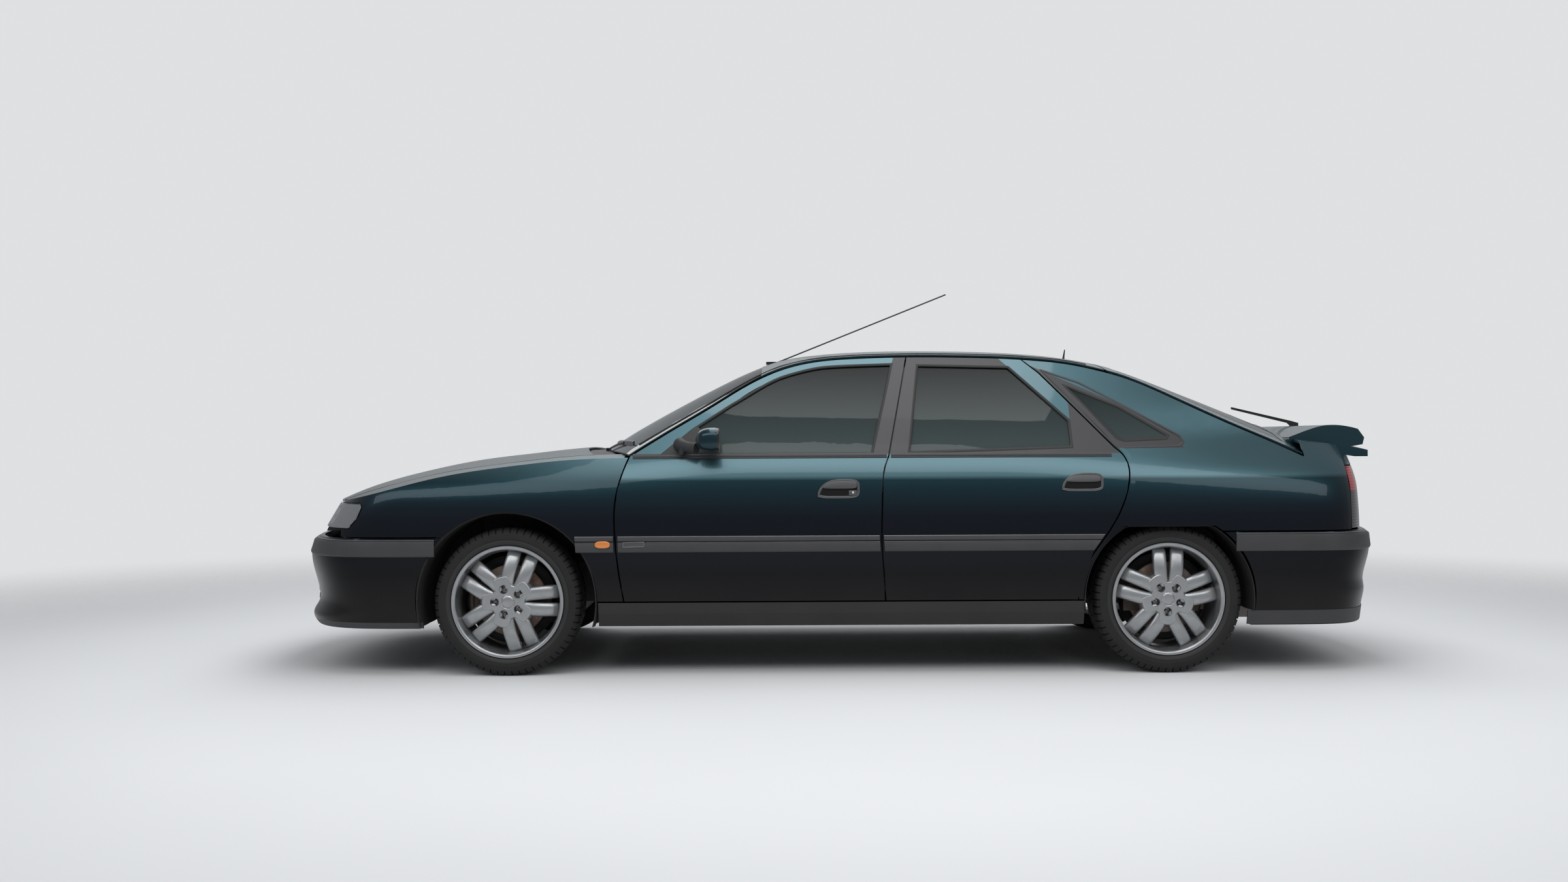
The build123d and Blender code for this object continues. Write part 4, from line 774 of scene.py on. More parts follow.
for side in SIDES:
    for part, (body, ends) in STRIPS.items():
        body = body.format(side)
        moulding = join(side_strip(ends, STRIP_SECTION, side), side_strip(ends, BEVEL_SECTION, side))
        piece(f"rub_strip_{part}_{side}", body, moulding, charcoal, sharp=35)
        lines = side_strip(ends, EDGE_SECTION, side)
        if part != "front_wing":
            start = (BADGE_END, BADGE_END) if part == "front_door" else ends[0]
            lines = join(lines, side_strip((start, ends[1]), LINE_SECTION, side))
        piece(f"strip_line_{part}_{side}", body, lines, line_trim, sharp=50)


# ---- bumper bands, lines and plates
CORNER_X = 1700  # where mouldings low on the bumpers start, both ways
BAND = {"front": (503, 574, BUMPER_F, -1, 1690), "rear": (512, 588, BUMPER_R, 1, 1645)}


def end_band(low, high, reaches, way, side_x, section, count=120):
    """A moulding round a bumper: a section of (height share, out) pairs carried along level lines."""
    lines = [end_path(low + s * (high - low), out, reaches, way, side_x, count) for s, out in section]
    return loft(np.stack(lines, 1))


BAND_SECTION = [(0.0, -3), (0.0, 2.5), (0.04, 4.5), (0.12, 5.5), (0.8, 5.5), (0.92, 3.5), (0.95, -3)]
BAND_LINE = [(0.955, -3), (0.955, 2.6), (0.975, 3.2), (0.995, 2.0), (1.0, -3)]
for end, (low, high, reaches, way, side_x) in BAND.items():
    band = end_band(low, high, reaches, way, side_x, BAND_SECTION)
    piece(f"bumper_band_{end}", "body", band, charcoal, sharp=35)
    line = end_band(low, high, reaches, way, side_x, BAND_LINE)
    piece(f"bumper_line_{end}", "body", line, line_trim, sharp=50)


def slab(low, high):
    """A block with rounded edges, from one corner to the other."""
    low, high = np.array(low, float), np.array(high, float)
    return oval_block((low + high) / 2, high - low, power=16, rows=7, cols=48, ends=16)


HOLDER_Y, PLATE_Y = 272, 260  # half widths
PLATES = {  # body, x and z of the holder, x and z of the plate
    "front": ("body", (NOSE_X - 7, NOSE_X + 26, 402, 520), (NOSE_X - 8.5, NOSE_X - 5, 406, 516)),
    "rear": ("tailgate", (TAIL_X - 64, TAIL_X - 32, 648, 764), (TAIL_X - 34, TAIL_X - 30, 652, 760)),
}
for end, (body, holder, face) in PLATES.items():
    for name, (x0, x1, z0, z1), y, finish in (
        (f"{end}_plate_holder", holder, HOLDER_Y, black_plastic),
        (f"{end}_plate", face, PLATE_Y, plate),
    ):
        piece(name, body, slab((x0, -y, z0), (x1, y, z1)), finish)


def level_block(low, high, reaches, way, half_y, section_out, count=60):
    """A low slot or lip across the middle of a bumper, cut to a half width."""
    rows = []
    for share, out in section_out:
        z = low + share * (high - low)
        line = end_path(z, out, reaches, way, CORNER_X, 2001)
        y = np.linspace(-half_y, half_y, count)
        rows.append(grid(np.interp(y, line[:, 1], line[:, 0]), y, z))
    return loft(np.stack(rows, 1))


SLOT = [(0.0, -4), (0.0, 1.6), (1.0, 1.6), (1.0, -4)]
SLOT_HEIGHT, SLOT_HALF_Y = 22, 520
slots = [level_block(z, z + SLOT_HEIGHT, BUMPER_F, -1, SLOT_HALF_Y, SLOT) for z in (268, 300, 332, 364)]
piece("bumper_intake", "body", join(*slots), black_plastic, sharp=35)
LIP = [(0.0, -12), (0.0, 2), (0.5, 4), (1.0, 2), (1.0, -12)]
APRON = [(0.0, -8), (0.0, 1.5), (1.0, 1.5), (1.0, -8)]
piece("chin_lip", "body", end_band(202, 226, BUMPER_F, -1, 1745, LIP), charcoal, sharp=35)
piece("rear_apron", "body", end_band(204, 262, BUMPER_R, 1, CORNER_X, APRON), charcoal, sharp=35)


# ---- window seals and surrounds
FRONT_CURVE = [(-452, 1136), (-229, 1257), (-40, 1298), (232, 1308)]
curve_x = np.linspace(-452, 232, 24)
front_opening = [(136, 924), (-606, 924), (-606, 1036), *zip(curve_x, through(curve_x, FRONT_CURVE))]
WINDOWS = {
    "front_door": (front_opening, "door_front_{}"),
    "rear_door": ([(291, 928), (342, 1303), (733, 1293), (974, 1061), (977, 948)], "door_rear_{}"),
    "quarter": ([(968, 1212), (1192, 1118), (1392, 994), (1383, 982), (1200, 974), (1172, 986)], "body"),
}
SEAL_SECTION = [(-5.5, -11), (-5.5, -1.0), (-3, 1.0), (2, 1.6), (5, 0.9), (5, -1.5)]
SURROUND_SECTION = [(-5, -1.5), (-5, 1.6), (-1, 2.6), (2, 1.8), (2, -1.5)]
QUARTER_EDGE = [(873, 1281), (1034, 1224), (1204, 1130), (1443, 995), (1457, 968), (1436, 950), (1180, 943)]
for side in SIDES:
    for part, (points, body) in WINDOWS.items():
        seal = side_ring(outline(points, 30), SEAL_SECTION, side)
        piece(f"window_seal_{part}_{side}", body.format(side), seal, rubber, sharp=50)
    surround = side_ring(outline(QUARTER_EDGE, 30), SURROUND_SECTION, side)
    piece(f"quarter_surround_{side}", "body", surround, charcoal, sharp=50)

WAIST = {"front_door": (-868, 198, "door_front_{}"), "rear_door": (214, 1140, "door_rear_{}")}
for side in SIDES:
    for part, (x0, x1, body) in WAIST.items():
        x = tall(x0, x1, 50)
        for name, foot, height, finish in (("line", 906, 7, rubber), ("strip", 914, 13, charcoal)):
            dz = np.array([0, 0, 0.2, 0.8, 1, 1])[None] * height
            out = np.array([-3, 2.0, 3.4, 3.0, 1.6, -8])[None]
            bead = loft(on_side(x, foot + dz, out, side))
            piece(f"waist_{name}_{part}_{side}", body.format(side), bead, finish, sharp=45)


# ---- door handles, indicators, badge and lock
HANDLES = {
    "front_door": (-92, 79, 741, 817, "door_front_{}"),
    "rear_door": (926, 1095, 766, 838, "door_rear_{}"),
}
HANDLE_RIM = [(-8, 0.5), (-7.5, 2.6), (-4, 4.0), (-1, 3.2), (1, -1)]
HANDLE_LINE = [(-0.5, 0.5), (-0.5, 3.6), (0.8, 3.8), (2.0, 2.2), (2.0, -1)]
BADGE_RIM = [(-3.5, 7), (-3.5, 10.6), (-2, 11.4), (0, 10.8), (0.6, 7)]
FLAP_ROUNDS = ((0, 0.3), (0, 0.8), (1.2, 0.95), (3.5, 1.0))  # (inset, share of the rise)
DOME_ROUNDS = ((0, 0.75), (0.8, 0.9), (3, 0.98), (8, 1.0))
BADGE_ROUNDS = ((0, 0.85), (0.6, 0.95), (1.6, 1.0))


def teardrop(x0, x1, z0, z1, count=44):
    """An oval lying down: a superellipse between a circle and a square."""
    u, v = superellipse(count, 2.6).T
    return np.stack([(x0 + x1) / 2 + u * (x1 - x0) / 2, (z0 + z1) / 2 + v * (z1 - z0) / 2], -1)


def handle_edge(x0, x1, z0, z1, count=60):
    """The handle's outline: square towards the tail, sweeping down to a low blunt tip in front.

    A superellipse whose top is lowered in front by a quarter circle of the distance from the middle.
    """
    u, v = superellipse(count, 4.5).T
    sweep = 1 - np.sqrt(np.maximum(0, 1 - np.clip((0.15 - u) / 1.15, 0, 1) ** 2.2))
    z = z0 + (v + 1) / 2 * (z1 - z0) * (1 - 0.78 * sweep)
    return np.stack([(x0 + x1) / 2 + u * (x1 - x0) / 2, z], -1)


for side in SIDES:
    for part, (x0, x1, z0, z1, body) in HANDLES.items():
        body = body.format(side)
        edge = handle_edge(x0, x1, z0, z1)
        where = f"{part}_{side}"
        piece(f"handle_surround_{where}", body, side_ring(edge, HANDLE_RIM, side), handle_grey, sharp=50)
        piece(f"handle_line_{where}", body, side_ring(edge, HANDLE_LINE, side), line_trim, sharp=50)
        # the recess is a near-black pad standing just proud, the hollow's dark plastic and its painted shade
        piece(f"handle_recess_{where}", body, side_pad(grown(edge, -6.5), 1.3, side), recess_shade)
        flap = handle_edge(x0 + 20, x1 - 9, z0 + 0.5 * (z1 - z0), z1 - 7)
        piece(f"handle_flap_{where}", body, side_pad(flap, 7.5, side, FLAP_ROUNDS), handle_grey)
        if part == "front_door":
            corner = outline([(x1 - 44, z0 + 8), (x1 - 9, z0 + 8), (x1 - 9, z0 + 31), (x1 - 44, z0 + 31)], 9)
            piece(f"lock_plate_{side}", body, side_pad(corner, 5.5, side), handle_grey)
            barrel = side_pad(teardrop(x1 - 32, x1 - 20, z0 + 14, z0 + 27, 20), 7.0, side, foot=4.5)
            piece(f"door_lock_{side}", body, barrel, bright)
    drop = teardrop(-1021, -957, 536, 566)
    piece(f"side_indicator_{side}", "body", side_pad(drop, 15.5, side, DOME_ROUNDS), lens_amber)
    pill = outline([(-905, 539), (-815, 541), (-815, 563), (-905, 561)], 9)
    badge = side_pad(pill, 9.6, side, BADGE_ROUNDS, foot=6.0)
    piece(f"door_badge_{side}", f"door_front_{side}", badge, handle_grey)
    badge_rim = side_ring(pill, BADGE_RIM, side)
    piece(f"badge_frame_{side}", f"door_front_{side}", badge_rim, line_trim, sharp=50)


# ---- door mirrors
MIRROR_X, MIRROR_Y, MIRROR_Z = -506, -925, 987  # middle of the glass edge
MIRROR_HALF_Y, MIRROR_HALF_Z = 80, 50
MIRROR_SWELL = [0.93, 0.985, 1.0, 1.0, 1.0, 0.99, 0.975, 0.95, 0.915, 0.87, 0.8, 0.69, 0.48, 0.05]


def mirror_shell(side):
    """Mirror head: superellipse sections along x that swell from the glass edge, then close in front."""
    t = np.linspace(0, 1, len(MIRROR_SWELL))[:, None]
    size = np.array(MIRROR_SWELL)[:, None]
    u, v = superellipse(40, 3.2).T
    y = MIRROR_Y + u * (MIRROR_HALF_Y * size)
    z = MIRROR_Z + v * (MIRROR_HALF_Z * size) - 3 * t
    return on(side, loft(grid(MIRROR_X - 94 * t, y, z)))


def mirror_oval(side, reach, rise):
    """A slightly domed superellipse facing the tail, from its rim to its middle."""
    u, v = superellipse(40, 3.6).T
    scale = reach * np.array([1, 1, 0.97, 0.6, 0.02])[:, None]
    x = MIRROR_X + rise * np.array([-1.0, 0.8, 0.95, 1.0, 1.0])[:, None]
    return on(side, loft(grid(x, MIRROR_Y + u * MIRROR_HALF_Y * scale, MIRROR_Z + v * MIRROR_HALF_Z * scale)))


def mirror_foot(side):
    """The sail in the corner of the window and the arm to the head."""
    sail = side_pad(outline([(-756, 922), (-494, 927), (-594, 1038), (-614, 1038)], 14), 3.4, "left", foot=-8)
    arm = [(-672, -836, 966), (-655, -862, 960), (-628, -884, 954), (-596, -902, 950)]
    pivot = [(-664, -838, 930), (-662, -862, 934), (-656, -874, 950), (-654, -868, 978)]
    return on(side, join(sail, tube(arm, [30, 25, 22, 24], 20), tube(pivot, [10, 14, 14, 9], 16)))


for side in SIDES:
    body = f"door_front_{side}"
    piece(f"mirror_cap_{side}", body, mirror_shell(side), paint_cap, replaces=[f"mirror_{side}"])
    piece(f"mirror_rim_{side}", body, mirror_oval(side, 0.95, 6.0), gloss_black)
    piece(f"mirror_glass_{side}", body, mirror_oval(side, 0.86, 7.2), reflector)
    piece(f"mirror_foot_{side}", body, mirror_foot(side), black_plastic)


# ---- wheels and tyres
def polar(r, a, out):
    """Points from radius, angle and distance out, in the wheel's frame (forward, up, outwards)."""
    return grid(r * np.cos(a), r * np.sin(a), out)


def ring_of(profile, count):
    """A closed (radius, out) section turned about the axle."""
    r, out = np.array(profile, float).T
    return loft(polar(r, circle(count)[:, None], out), loop=True)


def turned(profile, count):
    """An open (radius, out) line turned about the axle and capped at its two small ends."""
    r, out = (v[:, None] for v in np.array(profile, float).T)
    return loft(polar(r, circle(count), out))


def mounted(mesh, x, side):
    """A shape from the wheel's frame placed on its axle."""
    verts, quads, tris = mesh
    ahead, up, out = verts.T
    return on(side, (grid(x + ahead, -(HALF_TRACK + out), HUB_Z + up), quads, tris))


FACE_LINE = [(50, 92), (90, 98), (120, 98), (150, 93), (180, 84), (197, 75), (206, 66), (212, 56), (215, 48)]
LUG_R = 55  # circle of the wheel nuts


def spoke(angle, hand):
    """One of a twin of spokes: rounded sections from the hub, straight, then flaring to the rim."""
    r = np.array([50.0, 62, 76, 90, 104, 120, 138, 156, 172, 186, 197, 204, 209, 212.5, 215])
    off = hand * through(r, [(50, 14), (76, 25.5), (100, 32.5), (204, 38.5), (215, 39)])
    half = through(r, [(50, 16), (76, 25.5), (100, 29), (170, 29.5), (204, 28.5), (212, 23), (215, 15)])
    face = through(r, FACE_LINE)
    depth = through(r, [(50, 30), (170, 42), (215, 20)])
    u, v = superellipse(32, 2.7).T
    along, across = r[:, None], off[:, None] + u * half[:, None]
    out = (face - depth / 2)[:, None] + v * depth[:, None] / 2
    c, s = math.cos(angle), math.sin(angle)
    return loft(grid(along * c - across * s, along * s + across * c, out))


def hub_face(wells, turn):
    """Hub: a polar height field with five round lug wells, wide between the twins of spokes.

    Its edge runs from r = 80 on a twin's middle line to r = 118 between two twins, and rolls off there.
    """
    a = circle(240)
    step = 2 * math.pi / wells
    swing = abs((a - turn + step / 2) % step - step / 2)
    edge = (80 + 38 * smooth((swing - math.radians(5)) / math.radians(17)))[None, :]
    share = tall(0.04, 1, 44)
    r = share * edge
    x, y = r * np.cos(a), r * np.sin(a)
    top = 99 - 18 * smooth((r - edge + 15) / 17) ** 1.5
    for k in range(wells):
        wa = turn + step * (k + 0.5)
        d = np.hypot(x - LUG_R * math.cos(wa), y - LUG_R * math.sin(wa))
        top = top - 34 * smooth((18.0 - d) / 3.4)
    groove = np.exp(-(((r - 27.5) / 1.4) ** 2)) * 2.5
    face = grid(x, y, top - groove)
    back = grid(x[-1:], y[-1:], 34.0)
    return loft(np.concatenate([face, back, back * [0.1, 0.1, 1]]))


def nuts(wells, turn):
    """Wheel nuts: six-sided cones in the wells."""
    made = []
    for k in range(wells):
        wa = turn + 2 * math.pi * (k + 0.5) / wells
        r, out = np.array([(9.0, 56.0), (9.0, 76.0), (8.0, 78.0), (5.5, 79.0)]).T[:, :, None]
        made.append(loft(polar(r, circle(6), out) + [LUG_R * math.cos(wa), LUG_R * math.sin(wa), 0]))
    return join(*made)


RIM_SECTION = [
    (211, -107), (229, -108), (235, -107.5), (236, -105), (235.6, -102), (226, -101.4), (221, -99),
    (220, -92), (220, -40), (220, 60), (220, 92), (221, 99), (226, 101.4), (235.6, 102), (236, 105),
    (234.5, 107.6), (229, 108), (223, 106), (219.5, 102.5), (218, 97), (215, 80), (212, 62), (209, 46),
    (208, 20), (211, -60),
]
CAP_LINE = [(24, 92), (25.5, 95), (25.5, 98.5), (23.5, 100.4), (18, 101.4), (10, 102), (1, 102.2)]
TWINS = 5


def alloy_wheel(turn):
    """Barrel and lip, five twins of spokes, hub and a plain domed cap."""
    arms = [spoke(turn + 2 * math.pi * k / TWINS, hand) for k in range(TWINS) for hand in (-1, 1)]
    return join(ring_of(RIM_SECTION, 128), *arms, hub_face(TWINS, turn), turned(CAP_LINE, 48))


ROTOR_SECTION = [
    (72, -11), (147, -11), (150, -9), (150, -3), (144, -2), (144, 2), (150, 3), (150, 9), (147, 11), (72, 11),
]
HAT_SECTION = [(33, -18), (70, -18), (72, -16), (72, 26), (68, 29), (33, 29)]


def disc():
    """Brake disc and its hat, with a chamfered rim and a cooling slot round its edge."""
    return join(ring_of(ROTOR_SECTION, 96), ring_of(HAT_SECTION, 72))


def arc_block(r0, r1, out0, out1, first, last, edge=3.0):
    """A block bent round the axle: a rectangle with its corners cut off, carried along an arc."""
    a = np.radians(tall(first, last, 21))
    r = np.array([r0 + edge, r1 - edge, r1, r1, r1 - edge, r0 + edge, r0, r0])[None]
    out = np.array([out0, out0, out0 + edge, out1 - edge, out1, out1, out1 - edge, out0 + edge])[None]
    return loft(polar(r, a, out))


def caliper(middle):
    """Brake caliper: two jaws and a bridge over the disc, with its two sliding pins."""
    jaws = [arc_block(92, 152, *outs, middle - 27, middle + 27, 5) for outs in ((14, 42), (-46, -14))]
    bridge = arc_block(150, 172, -44, 40, middle - 22, middle + 22, 6)
    pins = []
    for a in np.radians([middle - 31, middle + 31]):
        x, y = 128 * math.cos(a), 128 * math.sin(a)
        pins.append(tube([(x, y, -50), (x, y, -16)], 8, 14))
    return join(*jaws, bridge, *pins)


SHIELD_SECTION = [
    (58, -30), (180, -30), (186, -26), (187, -18), (184, -18), (181, -23), (176, -26), (58, -26),
]
TYRE_BAND = [
    (238, 101), (238.6, 105), (242, 107.4), (246, 108.8), (250, 110.4), (254, 111.3), (257, 111.2),
    (258.4, 109.6), (257, 106), (246, 102),
]
CALIPER_AT = {"front": 176, "rear": 4}
TYRE_SIDE = [
    (238, 101), (241, 103.5), (246, 105), (250, 108.5), (253, 109.6), (256, 109.2), (262, 111.4),
    (268, 112.3), (276, 111.6), (282, 110.2), (285, 110.4), (288, 109.2), (293, 105.6), (297, 103),
    (301, 99.5), (304.5, 95), (307, 89), (308.5, 80), (309.6, 68),
]
PITCHES = 62
GROOVES = (-34, 0, 34)


def tyre():
    """A tyre: its section turned about the axle, less tread grooves worked out from angle and width.

    Three grooves run round it. Cross grooves part the shoulder blocks and fade down the sidewall,
    and thin slits cross the middle ribs.
    """
    half = TYRE_SIDE + [(310, w) for w in (54, 44, 38.6, 38.0, 30.0, 29.4, 16, 4.6, 4.0)]
    bore = [(221, w) for w in (-100, -60, 60, 100)]
    r, w = np.array(half + [(r, -w) for r, w in reversed(half)] + bore, float).T
    phase = np.array([0.0, 0.03, 0.15, 0.18, 0.5, 0.52, 0.56, 0.58])
    turn = ((np.arange(PITCHES)[:, None] + phase) / PITCHES * 2 * math.pi).ravel()
    where = np.tile(phase, PITCHES)[:, None]
    outer = r > 237
    round_groove = sum(((abs(w - g) < 4.3) & (r > 305)).astype(float) for g in GROOVES) * 7
    fade = smooth((r - 286) / 12) * smooth((abs(w) - 42) / 3)
    slot = ((where > 0.02) & (where < 0.16)) * fade[None] * 6.5
    rib = ((abs(w) < 29) & (abs(w) > 4.5) & (r > 305)).astype(float)
    slit = ((where > 0.51) & (where < 0.57)) * rib[None] * 4.0
    depth = np.maximum(np.maximum(round_groove[None], slot), slit) * outer
    slope = np.clip((abs(w) - 80) / 30, 0, 1)[None]
    radius = r[None] - depth * (1 - 0.45 * slope)
    width = w[None] - np.sign(w)[None] * depth * 0.75 * slope
    return loft(polar(radius, turn[:, None], width), loop=True)


TWIN_TURN = {"front": math.radians(72.5), "rear": math.radians(88)}
tyre_mesh, disc_mesh = tyre(), disc()
band_mesh, shield_mesh = ring_of(TYRE_BAND, 128), ring_of(SHIELD_SECTION, 96)
for end, x in AXLE_X.items():
    turn = TWIN_TURN[end]
    for side in SIDES:
        where = f"{end}_{side}"
        wheel, still = f"wheel_{where}", f"hub_{side}" if end == "front" else "body"
        for name, body, mesh, finish, slot, replaced, sharp in (
            ("tyre_tread", wheel, tyre_mesh, rubber_tyre, "tyre", [f"tyre_{where}"], 32),
            ("alloy_wheel", wheel, alloy_wheel(turn), silver, "alloy", [f"rim_{where}"], 42),
            ("wheel_nuts", wheel, nuts(TWINS, turn), steel, "steel", [], 30),
            ("brake_disc", wheel, disc_mesh, disc_rust, "cast_iron", [], 40),
            ("tyre_band", wheel, band_mesh, rubber, "tyre", [], 60),
            ("brake_shield", still, shield_mesh, underbody, "steel", [], 40),
            ("brake_caliper", still, caliper(CALIPER_AT[end]), cast_iron, "cast_iron", [], 35),
        ):
            piece(f"{name}_{where}", body, mounted(mesh, x, side), finish, replaced, sharp)


# ---- wheel houses
SHEET = 3  # thickness
FRONT_LINER_R, REAR_LINER_R = 374, 354
FRONT_HOUSE_Y, REAR_HOUSE_Y = 480, 640  # inner walls
REAR_HOUSE_TOP = 614


def arch_liner(x, radius, first, last, near, far, flat_top=None):
    """A tunnel over a wheel: an arc of angles carried across, with shallow ribs."""
    a = np.radians(tall(first, last, 49))
    y = wide(near, far, 25)
    ribs = 2.5 * np.cos(y / 22)
    grids = []
    for r in (radius, radius + SHEET):
        pz = HUB_Z + (r + ribs) * np.sin(a)
        if flat_top:
            pz = np.minimum(pz, flat_top + r - radius)
        grids.append(grid(x + (r + ribs) * np.cos(a), -y, pz))
    return sheet(*grids)


def house_wall(x0, x1, y, low, x, radius, flat_top):
    """The inner wall of a wheel house: an upright plate under the arch, with a shallow swage."""
    px = tall(x0, x1, 31)
    arc = HUB_Z + np.sqrt(np.maximum(radius**2 - (px - x) ** 2, 0))
    v = wide(0, 1, 25)
    pz = low + (np.maximum(np.minimum(arc, flat_top), low + 2) - low) * v
    swage = 4 * np.sin(v * math.pi)
    return sheet(grid(px, -(y + swage), pz), grid(px, -(y - SHEET + swage), pz))


def half_ring(x, first, r0, r1, rows):
    """The x and z of a flat half ring over a wheel, from an angle to its mirror image."""
    a = np.radians(tall(first, 180 - first, 53))
    r = wide(r0, r1, rows)
    return x + r * np.cos(a), HUB_Z + r * np.sin(a)


def arch_flange(x, radius, y):
    """A turned edge round the inner side of an arch."""
    px, pz = half_ring(x, -14, radius - SHEET, radius + 34, 5)
    return sheet(grid(px, -y - SHEET, pz), grid(px, -y, pz))


def lip_flange(x, radius):
    """A strip behind the wing's arch lip, just inside the side surface, that closes the liner's edge."""
    px, pz = half_ring(x, 2, radius, radius + 24, 4)
    return sheet(on_side(px, pz, -9.0, "left"), on_side(px, pz, -12.0, "left"))


WALLS = {  # x from and to, y, foot, axle, radius and top
    "rear": (940, 1625, REAR_HOUSE_Y, 330, AXLE_X["rear"], 352, 612),
    "front_nose": (-1858, -1575, FRONT_HOUSE_Y, 205, AXLE_X["front"], 372, 900),
    "front_sill": (-1340, -1143, FRONT_HOUSE_Y, 205, AXLE_X["front"], 372, 900),
}
house_parts = {f"wheel_house_{where}": house_wall(*sizes) for where, sizes in WALLS.items()}
house_parts["arch_flange_front"] = arch_flange(AXLE_X["front"], FRONT_LINER_R, FRONT_HOUSE_Y)
house_parts["arch_lip_front"] = lip_flange(AXLE_X["front"], FRONT_LINER_R)
house_parts["arch_liner_front"] = arch_liner(AXLE_X["front"], FRONT_LINER_R, -16, 196, FRONT_HOUSE_Y, 884)
house_parts["arch_liner_rear"] = arch_liner(
    AXLE_X["rear"], REAR_LINER_R, -8, 188, REAR_HOUSE_Y, 880, REAR_HOUSE_TOP
)
for side in SIDES:
    for name, mesh in house_parts.items():
        piece(f"{name}_{side}", "body", on(side, mesh), liner, sharp=60)


# ---- headlamp lenses
LENS = (-842, -398, 624, 716)


def nose_patch(y0, y1, z0, z1, depth, rows=24, cols=36):
    """A patch of the nose surface between two sides and two heights, set back by depth."""
    z = tall(z0, z1, rows)
    y = wide(y0, y1, cols)
    t = np.clip(abs(y) / side_y(-2100.0, z), 0, 1)
    x = -(BARREL_X + through(z, NOSE_REACH) * (1 - t**2) ** (1 / NOSE_POWER)) + depth
    return grid(x, y, z)


for side in SIDES:
    lens = on(side, sheet(nose_patch(*LENS, -1.6), nose_patch(*LENS, 1.4)))
    piece(f"headlamp_lens_{side}", "body", lens, lens_clear, sharp=50)


# ---- seats
SEAT_WIDTH, BENCH_WIDTH = 490, 382
SEAT_Y, BENCH_Y = 370.0, 385.0


def quilting(rows, v):
    """Height of the side bolsters, and depth of the cross channels, of which there is one to a row."""
    return 26 * smooth((abs(v) - 0.55) / 0.3), 5 * np.exp(-((rows % 1 - 0.5) ** 2) * 160) * (abs(v) < 0.6)


def seat_cushion(width, x0, x1, z0, rise, y):
    """A crowned cushion, rounded in plan, with bolsters and channels."""
    u = tall(-1, 1, 33)
    v = wide(-1, 1, 33)
    edge = (1 - abs(u) ** 6) ** 0.5 * (1 - abs(v) ** 6) ** 0.5
    bolster, channel = quilting(u * 2.5, v)
    px = (x0 + x1) / 2 + u * (x1 - x0) / 2 * (1 - 0.04 * abs(v) ** 3)
    py = y + v * width / 2 * (1 - 0.03 * abs(u) ** 3)
    top = z0 + rise * (0.35 + 0.65 * edge) + bolster * edge - channel
    return sheet(grid(px, py, top), grid(px * 0.999, py, z0 - 60 + 8 * (1 - edge)))


def seat_back(width, foot, head, thick, y):
    """A reclined back: crowned face with bolsters and channels, narrower towards the top."""
    u = tall(0, 1, 41)
    v = wide(-1, 1, 33)
    (x0, z0), (x1, z1) = foot, head
    along = np.array([x1 - x0, z1 - z0]) / math.hypot(x1 - x0, z1 - z0)
    edge = (1 - abs(2 * u - 1) ** 8) ** 0.5 * (1 - abs(v) ** 6) ** 0.5
    bolster, channel = quilting(u * 5, v)
    front = thick * (0.25 + 0.75 * edge) * 0.5 + bolster * edge - channel
    py = y + v * width / 2 * (1 - 0.14 * u**2)
    faces = (front, -thick * (0.3 + 0.7 * edge) * 0.5)
    return sheet(
        *[grid(x0 + (x1 - x0) * u - along[1] * out, py, z0 + (z1 - z0) * u + along[0] * out) for out in faces]
    )


def pad(name, mesh, cover=seat_cloth, replaces=(), subdivide=1):
    """A soft piece of a seat, riding on the body."""
    made = piece(name, "body", mesh, cover, replaces, subdivide=subdivide)


def head_rest(name, x, z, y):
    """A headrest cushion: a superellipsoid."""
    mesh = oval_block((x, y, z), (96, 260, 150), power=3.2, rows=15, cols=40, ends=3.0)
    pad(name, mesh, seat_side, subdivide=0)


for side, hand in SIDES.items():
    y = hand * SEAT_Y
    name = f"front_seat_{side}"
    pad(f"{name}_cushion", seat_cushion(SEAT_WIDTH, -455, 55, 430, 70, y))
    pad(f"{name}_back", seat_back(SEAT_WIDTH, (60, 480), (190, 880), 120, y), replaces=[name])
    head_rest(f"{name}_headrest", 222, 943, y)
    stems = [tube([(205, y + k, 860), (214, y + k, 900)], 6, 12) for k in (-60, 60)]
    piece(f"{name}_stems", "body", join(*stems), bright)
    piece(f"{name}_base", "body", slab((-430, y - 215, 262), (70, y + 215, 372)), cabin_trim)
for k, y in enumerate((-BENCH_Y, 0.0, BENCH_Y)):
    pad(f"rear_cushion_{k}", seat_cushion(BENCH_WIDTH, 495, 960, 455, 62, y))
    back = seat_back(BENCH_WIDTH, (965, 490), (1085, 930), 110, y)
    pad(f"rear_back_{k}", back, replaces=["rear_seat"] if k == 1 else [])
    if k != 1:
        head_rest(f"rear_headrest_{k}", 1105, 955, y)


# ---- aerial stub and roof gutters
STUB_X = 1090.0
stub_foot = roof_z(STUB_X, 0)
stub_path = [(STUB_X + back, 0, stub_foot + up) for back, up in ((0, -1), (3, 26), (8, 56))]
piece("aerial_stub", "body", tube(stub_path, [7, 4.5, 2.5], 14), gloss_black)
for side, hand in SIDES.items():
    x = np.linspace(-850, 1080, 90)
    y = hand * (side_y(x, roof_z(x, 640.0)) - 44)
    piece(f"roof_gutter_{side}", "body", tube(grid(x, y, roof_z(x, y) + 0.5), 3.2, 10), rubber)


# ---- stage, light and camera
FLOOR_HALF = 60000


def stage_floor():
    """A wide flat floor on a grid, half a millimetre below the tyres."""
    u = np.linspace(-1, 1, 41) * FLOOR_HALF
    upper = grid(u[:, None], u[None, :], -0.5)
    return sheet(upper, upper - [0, 0, 20])


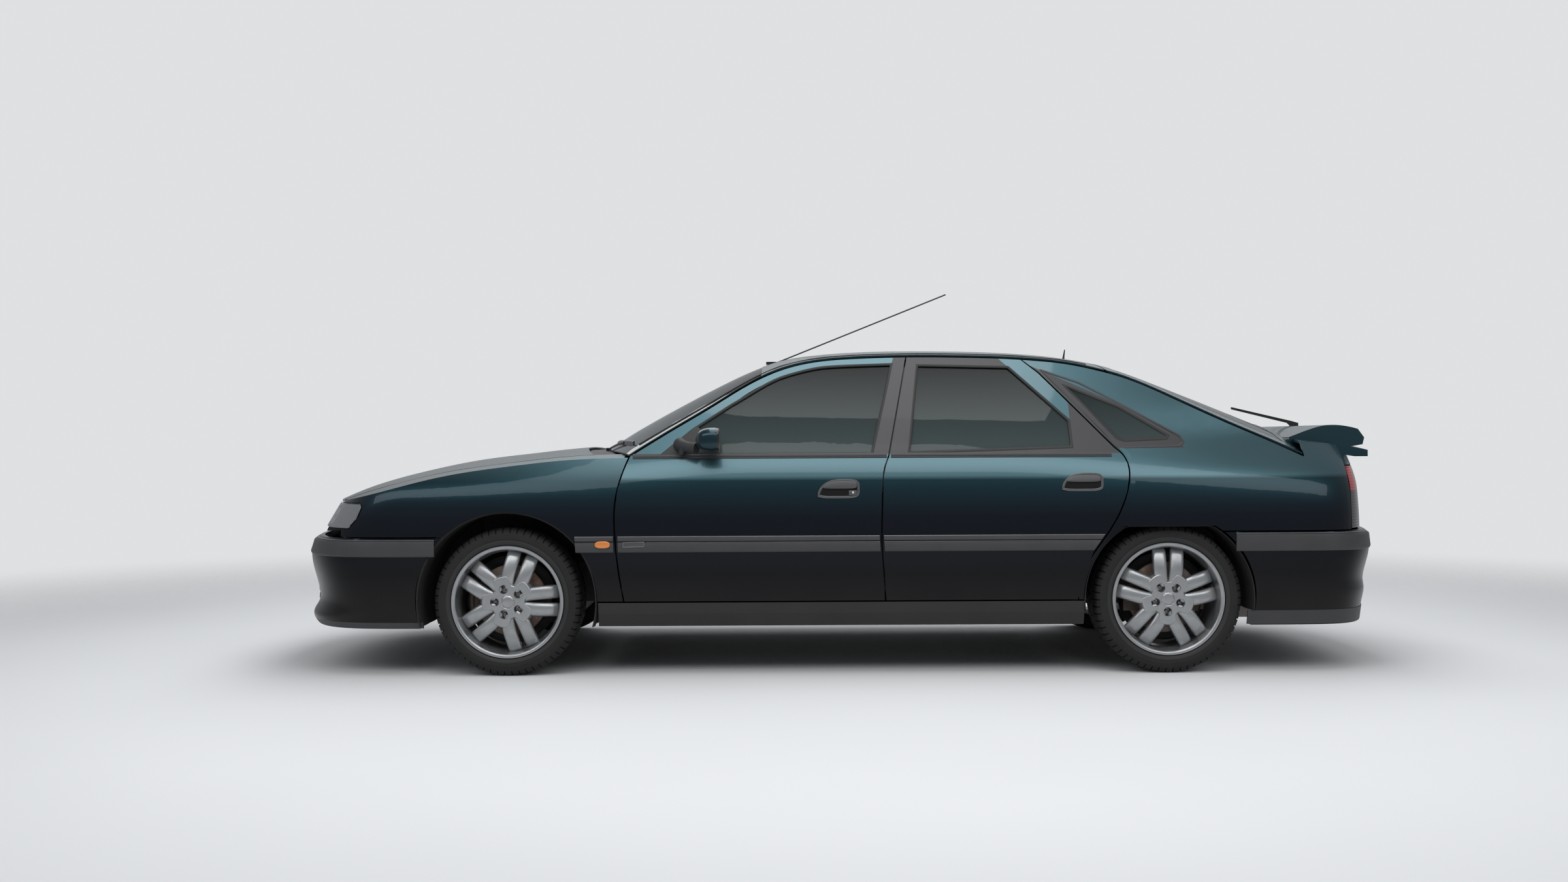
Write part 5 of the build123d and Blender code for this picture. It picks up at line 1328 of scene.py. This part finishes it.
def backdrop_finish():
    """Pale matt floor that takes the car's shadow and fades out far from it."""
    made = Finish("studio_floor", Roughness=0.9, Specular_IOR_Level=0.1)
    colour = made.mix(made.noise(0.6, 3.0), (0.68, 0.69, 0.7), (0.72, 0.73, 0.74))
    x, y, _ = made.axes()
    fade = (x * x + y * y).root().ramp(3.0, 0.19)
    return made.done(colour, Alpha=1.0 - fade * fade * (3.0 - fade * 2.0))


verts, quads, tris = stage_floor()
floor_data = bpy.data.meshes.new("studio_floor")
floor_data.from_pydata((verts * MM).tolist(), [], quads.tolist())
floor_data.materials.append(backdrop_finish())
studio_floor = bpy.data.objects.new("studio_floor", floor_data)
bpy.context.scene.collection.objects.link(studio_floor)

world = bpy.data.worlds.new("studio")
bpy.context.scene.world = world
world.use_nodes = True
tree = world.node_tree
tree.nodes.clear()
ray, seen, blend, out = (
    tree.nodes.new(f"ShaderNode{kind}") for kind in ("LightPath", "Math", "MixShader", "OutputWorld")
)
seen.operation = "MAXIMUM"
tree.links.new(ray.outputs["Is Camera Ray"], seen.inputs[0])
tree.links.new(ray.outputs["Is Transmission Ray"], seen.inputs[1])
tree.links.new(seen.outputs[0], blend.inputs[0])
tree.links.new(blend.outputs[0], out.inputs["Surface"])
SKIES = (((0.93, 0.96, 1.0, 1), 0.36), ((0.86, 0.87, 0.88, 1), 0.86))  # lighting the car, and seen
for k, (tone, strength) in enumerate(SKIES):
    sky = tree.nodes.new("ShaderNodeBackground")
    sky.inputs["Color"].default_value = tone
    sky.inputs["Strength"].default_value = strength
    tree.links.new(sky.outputs[0], blend.inputs[k + 1])


def soft_light(name, place, target, size, watts):
    """A large soft lamp aimed at a point."""
    lamp = bpy.data.lights.new(name, "AREA")
    lamp.shape = "RECTANGLE"
    lamp.size, lamp.size_y = size
    lamp.energy = watts
    made = bpy.data.objects.new(name, lamp)
    bpy.context.scene.collection.objects.link(made)
    made.location = place
    away_from = np.array(place) - np.array(target)
    made.rotation_euler = Vector(away_from).to_track_quat("Z", "Y").to_euler()
    made.visible_camera = False


soft_light("overhead", (0.3, 0.0, 5.4), (0, 0, 0.8), (8.0, 3.4), 240)
soft_light("near_side", (-0.4, -6.2, 5.2), (0, -0.9, 1.2), (19.0, 3.0), 395)
soft_light("far_side", (0.4, 6.4, 5.0), (0, 0, 0.8), (12.0, 3.0), 150)

CAMERA_PLACE = (-0.233, -7.35, 0.9785)
CAMERA_ROLL = 0.005
camera_data = bpy.data.cameras.new("camera")
camera_data.lens = 35.64
camera_data.sensor_width = 36
camera_data.clip_end = 300
camera = bpy.data.objects.new("camera", camera_data)
bpy.context.scene.collection.objects.link(camera)
camera.location = CAMERA_PLACE
camera.rotation_euler = (math.pi / 2, CAMERA_ROLL, 0)
bpy.context.scene.camera = camera
bpy.context.scene.view_settings.view_transform = "Standard"
